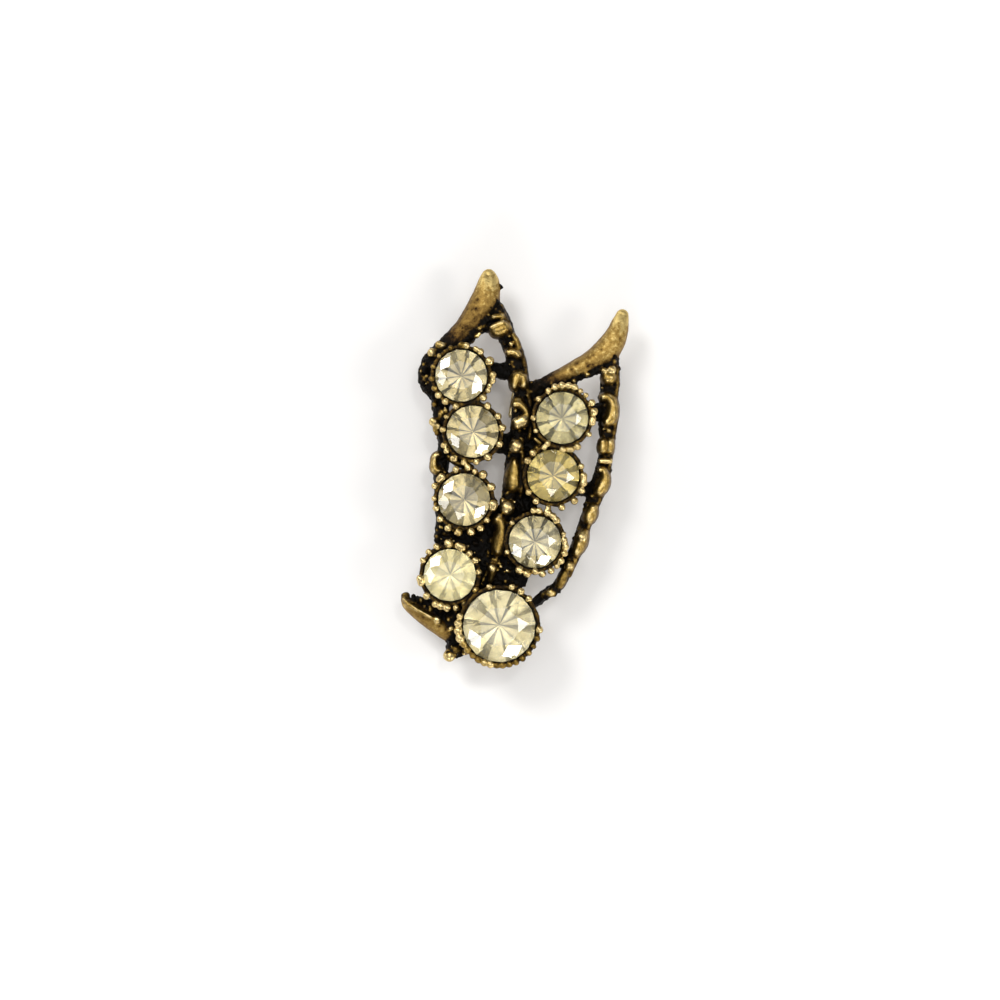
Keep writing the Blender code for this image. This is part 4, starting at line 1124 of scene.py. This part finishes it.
def pin_metal():
    """The pin back: plated wire and strip, duller in its corners."""
    finish = Finish("pin_metal_worn")
    mottle = finish.noise(scale=1500.0, detail=5.0)
    hollow = finish.math("MULTIPLY", finish.layer("hollow"), 0.5)
    colour = finish.coloured(
        finish.math("SUBTRACT", mottle, hollow),
        (0.3, (0.26, 0.19, 0.085)), (0.55, (0.50, 0.40, 0.21)), (0.8, (0.66, 0.56, 0.34)),
    )
    finish.links.new(colour, finish.inputs["Base Color"])
    finish.inputs["Metallic"].default_value = 1.0
    brushed = finish.noise(scale=6000.0, detail=3.0)
    rough = finish.math("ADD", finish.math("MULTIPLY", brushed, 0.3), 0.16)
    finish.links.new(rough, finish.inputs["Roughness"])
    finish.bumped(brushed, strength=0.15, distance=0.00003)
    return finish.material


def stone_glass():
    finish = Finish("stone_glass")
    finish.inputs["Base Color"].default_value = (0.97, 0.97, 0.91, 1.0)
    finish.inputs["Roughness"].default_value = 0.02
    finish.inputs["IOR"].default_value = 1.33
    finish.inputs["Transmission Weight"].default_value = 1.0
    finish.inputs["Coat Weight"].default_value = 1.0
    finish.inputs["Coat Roughness"].default_value = 0.02
    finish.inputs["Coat IOR"].default_value = 1.55
    return finish.material


def stone_foil():
    """Foil on the back of the stones, aged unevenly, times each facet's painted light and shade."""
    finish = Finish("stone_foil")
    stain = finish.noise(scale=700.0, detail=4.0)
    colour = finish.coloured(stain, (0.3, (0.72, 0.69, 0.58)), (0.55, (1.0, 1.0, 0.97)))
    both = finish.mixed(1.0, finish.layer("painted_facet_light", "Color"), colour, blend="MULTIPLY")
    finish.links.new(both, finish.inputs["Base Color"])
    finish.inputs["Metallic"].default_value = 1.0
    finish.inputs["Roughness"].default_value = 0.21
    return finish.material


def ring_of(radius, height, count, first_deg):
    points = []
    for place in range(count):
        angle = math.radians(first_deg + 360 * place / count)
        points.append(Vector((radius * math.cos(angle), radius * math.sin(angle), height)))
    return points


# Each stone's turn in degrees, the tint of its foil and how far its painted dark wedges stand out
STONE_LOOKS = {
    "stone_1": (7.3, (0.93, 0.86, 0.685), 1.0),
    "stone_2": (28.0, (0.96, 0.88, 0.68), 0.95),
    "stone_3": (6.5, (0.98, 0.90, 0.70), 0.95),
    "stone_4": (0.8, (0.99, 0.935, 0.74), 0.55),
    "stone_5": (17.0, (0.865, 0.81, 0.62), 1.0),
    "stone_6": (16.0, (0.87, 0.775, 0.485), 0.9),
    "stone_7": (26.0, (0.945, 0.885, 0.725), 0.95),
    "large_stone": (27.5, (1.0, 0.94, 0.77), 0.85),
}
# Painted light and shade on the foil's facets: painted shade on the narrow wedges, painted light on the broad
# ones, with a few swapped
NARROW_PAINTED_SHADE = (0.18, 0.42)
BROAD_PAINTED_LIGHT = (0.64, 0.95)
ODD_WEDGES = 0.06

# Faces that meet flatter than this are one facet, and those that look further down are foiled
FLAT_DEG = 0.5
FOILED_BELOW = -0.1


def build_stone(name, x, y, diameter, glass, foil):
    """A round cut stone: glass crown over a foiled pavilion."""
    radius = diameter / 2
    crown = CROWN_SHARE * diameter
    girdle = GIRDLE_SHARE * diameter
    pavilion = PAVILION_SHARE * diameter
    half_turn = 180 / CUT_SIDES
    to_middle = math.cos(math.radians(half_turn))
    crown_run = (CROWN_BREAK_SHARE * to_middle - TABLE_SHARE) / (1 - TABLE_SHARE)
    points = ring_of(TABLE_SHARE * radius, girdle + crown, CUT_SIDES, 0)
    points += ring_of(CROWN_BREAK_SHARE * radius, girdle + crown * (1 - crown_run), CUT_SIDES, half_turn)
    points += ring_of(radius, girdle, 2 * CUT_SIDES, 0)
    turn_deg, tint, contrast = STONE_LOOKS[name]
    turn = math.radians(turn_deg)
    rng = np.random.default_rng(SEED + len(name) + int(turn * 1000))
    wedge_deg = 360 / WEDGES * np.arange(WEDGES) + rng.uniform(-WEDGE_STRAY_DEG, WEDGE_STRAY_DEG, WEDGES)
    half_deg = NARROW_DEG * rng.uniform(*NARROW_CHANGE, WEDGES)
    for angle in (*(wedge_deg - half_deg), *(wedge_deg + half_deg)):
        points += ring_of(radius, 0.0, 1, angle)
    points.append(Vector((0.0, 0.0, -pavilion)))
    bm = bmesh.new()
    for point in points:
        bm.verts.new(point)
    bmesh.ops.convex_hull(bm, input=bm.verts)
    bmesh.ops.dissolve_limit(bm, angle_limit=math.radians(FLAT_DEG), verts=bm.verts, edges=bm.edges)
    bmesh.ops.recalc_face_normals(bm, faces=bm.faces)
    for corner in bm.verts:
        across = corner.co.x * math.cos(turn) - corner.co.y * math.sin(turn)
        along = corner.co.x * math.sin(turn) + corner.co.y * math.cos(turn)
        corner.co = (Vector((across, along, corner.co.z)) + Vector((x, y, seat_z(diameter)))) * METRE
    for face in bm.faces:
        face.material_index = 1 if face.normal.z < FOILED_BELOW else 0
        face.smooth = False
    mesh = bpy.data.meshes.new(name + "_cut")
    bm.to_mesh(mesh)
    bm.free()
    # Each facet's foil gets a painted brightness, dark on narrow wedges and light on broad ones, standing in
    # for the reflections that make the wedges
    painted_facet_light = mesh.color_attributes.new("painted_facet_light", "FLOAT_COLOR", "CORNER")
    for face in mesh.polygons:
        middle = face.center / METRE
        facing = math.degrees(math.atan2(middle.y - y, middle.x - x) - turn)
        away = np.abs((facing - wedge_deg + 180) % 360 - 180)
        narrow = bool((away < half_deg).any())
        value = rng.uniform(*(NARROW_PAINTED_SHADE if narrow != (rng.uniform() < ODD_WEDGES) else BROAD_PAINTED_LIGHT))
        value = 1 - (1 - value) * contrast
        for corner in face.loop_indices:
            painted_facet_light.data[corner].color = (value * tint[0], value * tint[1], value * tint[2], 1.0)
    mesh.materials.append(glass)
    mesh.materials.append(foil)
    made = bpy.data.objects.new(name + "_cut", mesh)
    bpy.context.scene.collection.objects.link(made)
    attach(made, "root")
    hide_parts(name)


def skinned(field):
    """The field's surface, eased and kept off the floor: corners, faces, normals and finish layers."""
    corners, faces = surface(field)
    corners = eased(corners, faces, EASE_PASSES)
    corners[:, 2] = np.maximum(corners[:, 2], 0.0)
    normals = corner_normals(corners, faces)
    return corners, faces, normals, finish_layers(field, corners, normals)


def build_spray():
    corners, faces, normals, layers = skinned(build_spray_field())
    owner = piece_of(corners[faces].mean(axis=1))
    gold = antique_gold()
    for number, name in enumerate(PIECES):
        made = mesh_piece(name, corners, faces[owner == number], normals, layers, gold)
        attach(made, "root")
        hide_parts("casting")


def build_pin_back():
    corners, faces, normals, layers = skinned(build_pin_field())
    made = mesh_piece("pin_back_worn", corners, faces, normals, layers, pin_metal())
    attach(made, "root")
    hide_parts("pin_back")


def floor():
    finish = Finish("floor")
    finish.inputs["Base Color"].default_value = (0.86, 0.85, 0.83, 1.0)
    finish.inputs["Roughness"].default_value = 0.7
    bpy.ops.mesh.primitive_plane_add(size=FLOOR_SIZE)
    plane = bpy.context.object
    plane.name = "studio_floor"
    plane.data.materials.append(finish.material)


def softbox(name, place, size, watts, color=(1.0, 1.0, 1.0)):
    """A square soft light that faces the brooch."""
    light = bpy.data.lights.new(name, "AREA")
    light.size = size
    light.energy = watts
    light.color = color
    made = bpy.data.objects.new(name, light)
    made.location = place
    toward = Vector(LIT_PLACE) - Vector(place)
    made.rotation_euler = toward.to_track_quat("-Z", "Y").to_euler()
    bpy.context.scene.collection.objects.link(made)


def lights():
    softbox("overhead", (0.0, 0.03, 0.45), 0.34, 0.62)
    softbox("key", (-0.14, 0.16, 0.30), 0.10, 0.45)
    softbox("side", (0.24, -0.02, 0.22), 0.08, 0.20, (1.0, 0.97, 0.92))
    softbox("low", (-0.05, -0.26, 0.16), 0.08, 0.18, (1.0, 0.96, 0.9))
    softbox("glint", (0.06, 0.10, 0.40), 0.03, 0.14)
    softbox("flash_left", (-0.214, 0.180, 0.086), 0.05, 0.16)
    softbox("flash_right", (0.207, -0.174, 0.082), 0.05, 0.14)
    softbox("flash_low", (-0.274, -0.024, 0.084), 0.05, 0.05)
    softbox("flash_foot_right", (0.125, -0.239, 0.082), 0.05, 0.12)
    softbox("flash_foot_left", (-0.244, -0.127, 0.084), 0.05, 0.07)
    world = bpy.data.worlds.new("studio")
    world.use_nodes = True
    back = world.node_tree.nodes["Background"]
    back.inputs["Color"].default_value = (0.93, 0.94, 1.0, 1.0)
    back.inputs["Strength"].default_value = 0.30
    bpy.context.scene.world = world


def camera():
    """Straight above the face, at the photograph's scale."""
    data = bpy.data.cameras.new("camera")
    data.lens = LENS
    data.sensor_width = SENSOR
    data.clip_start = 0.01
    distance = FRAME_PX / PX_PER_MM * LENS / SENSOR
    x, y = at_pixel(*AIM_PX)
    made = bpy.data.objects.new("camera", data)
    made.location = (x * METRE, y * METRE, (AIM_Z + distance) * METRE)
    bpy.context.scene.collection.objects.link(made)
    bpy.context.scene.camera = made


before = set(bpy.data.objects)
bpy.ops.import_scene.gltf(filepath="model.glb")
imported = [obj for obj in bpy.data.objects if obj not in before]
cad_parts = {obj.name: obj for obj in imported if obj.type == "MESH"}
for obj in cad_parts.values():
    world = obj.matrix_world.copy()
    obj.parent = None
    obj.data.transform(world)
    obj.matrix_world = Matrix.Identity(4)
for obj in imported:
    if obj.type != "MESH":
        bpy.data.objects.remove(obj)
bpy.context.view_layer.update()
SHIFT = shift()
camera()
build_spray()
build_pin_back()
glass = stone_glass()
foil = stone_foil()
for stone, (stone_x, stone_y, stone_d) in stones().items():
    build_stone(stone, stone_x, stone_y, stone_d, glass, foil)
floor()
lights()
bpy.context.scene.view_settings.view_transform = "Standard"
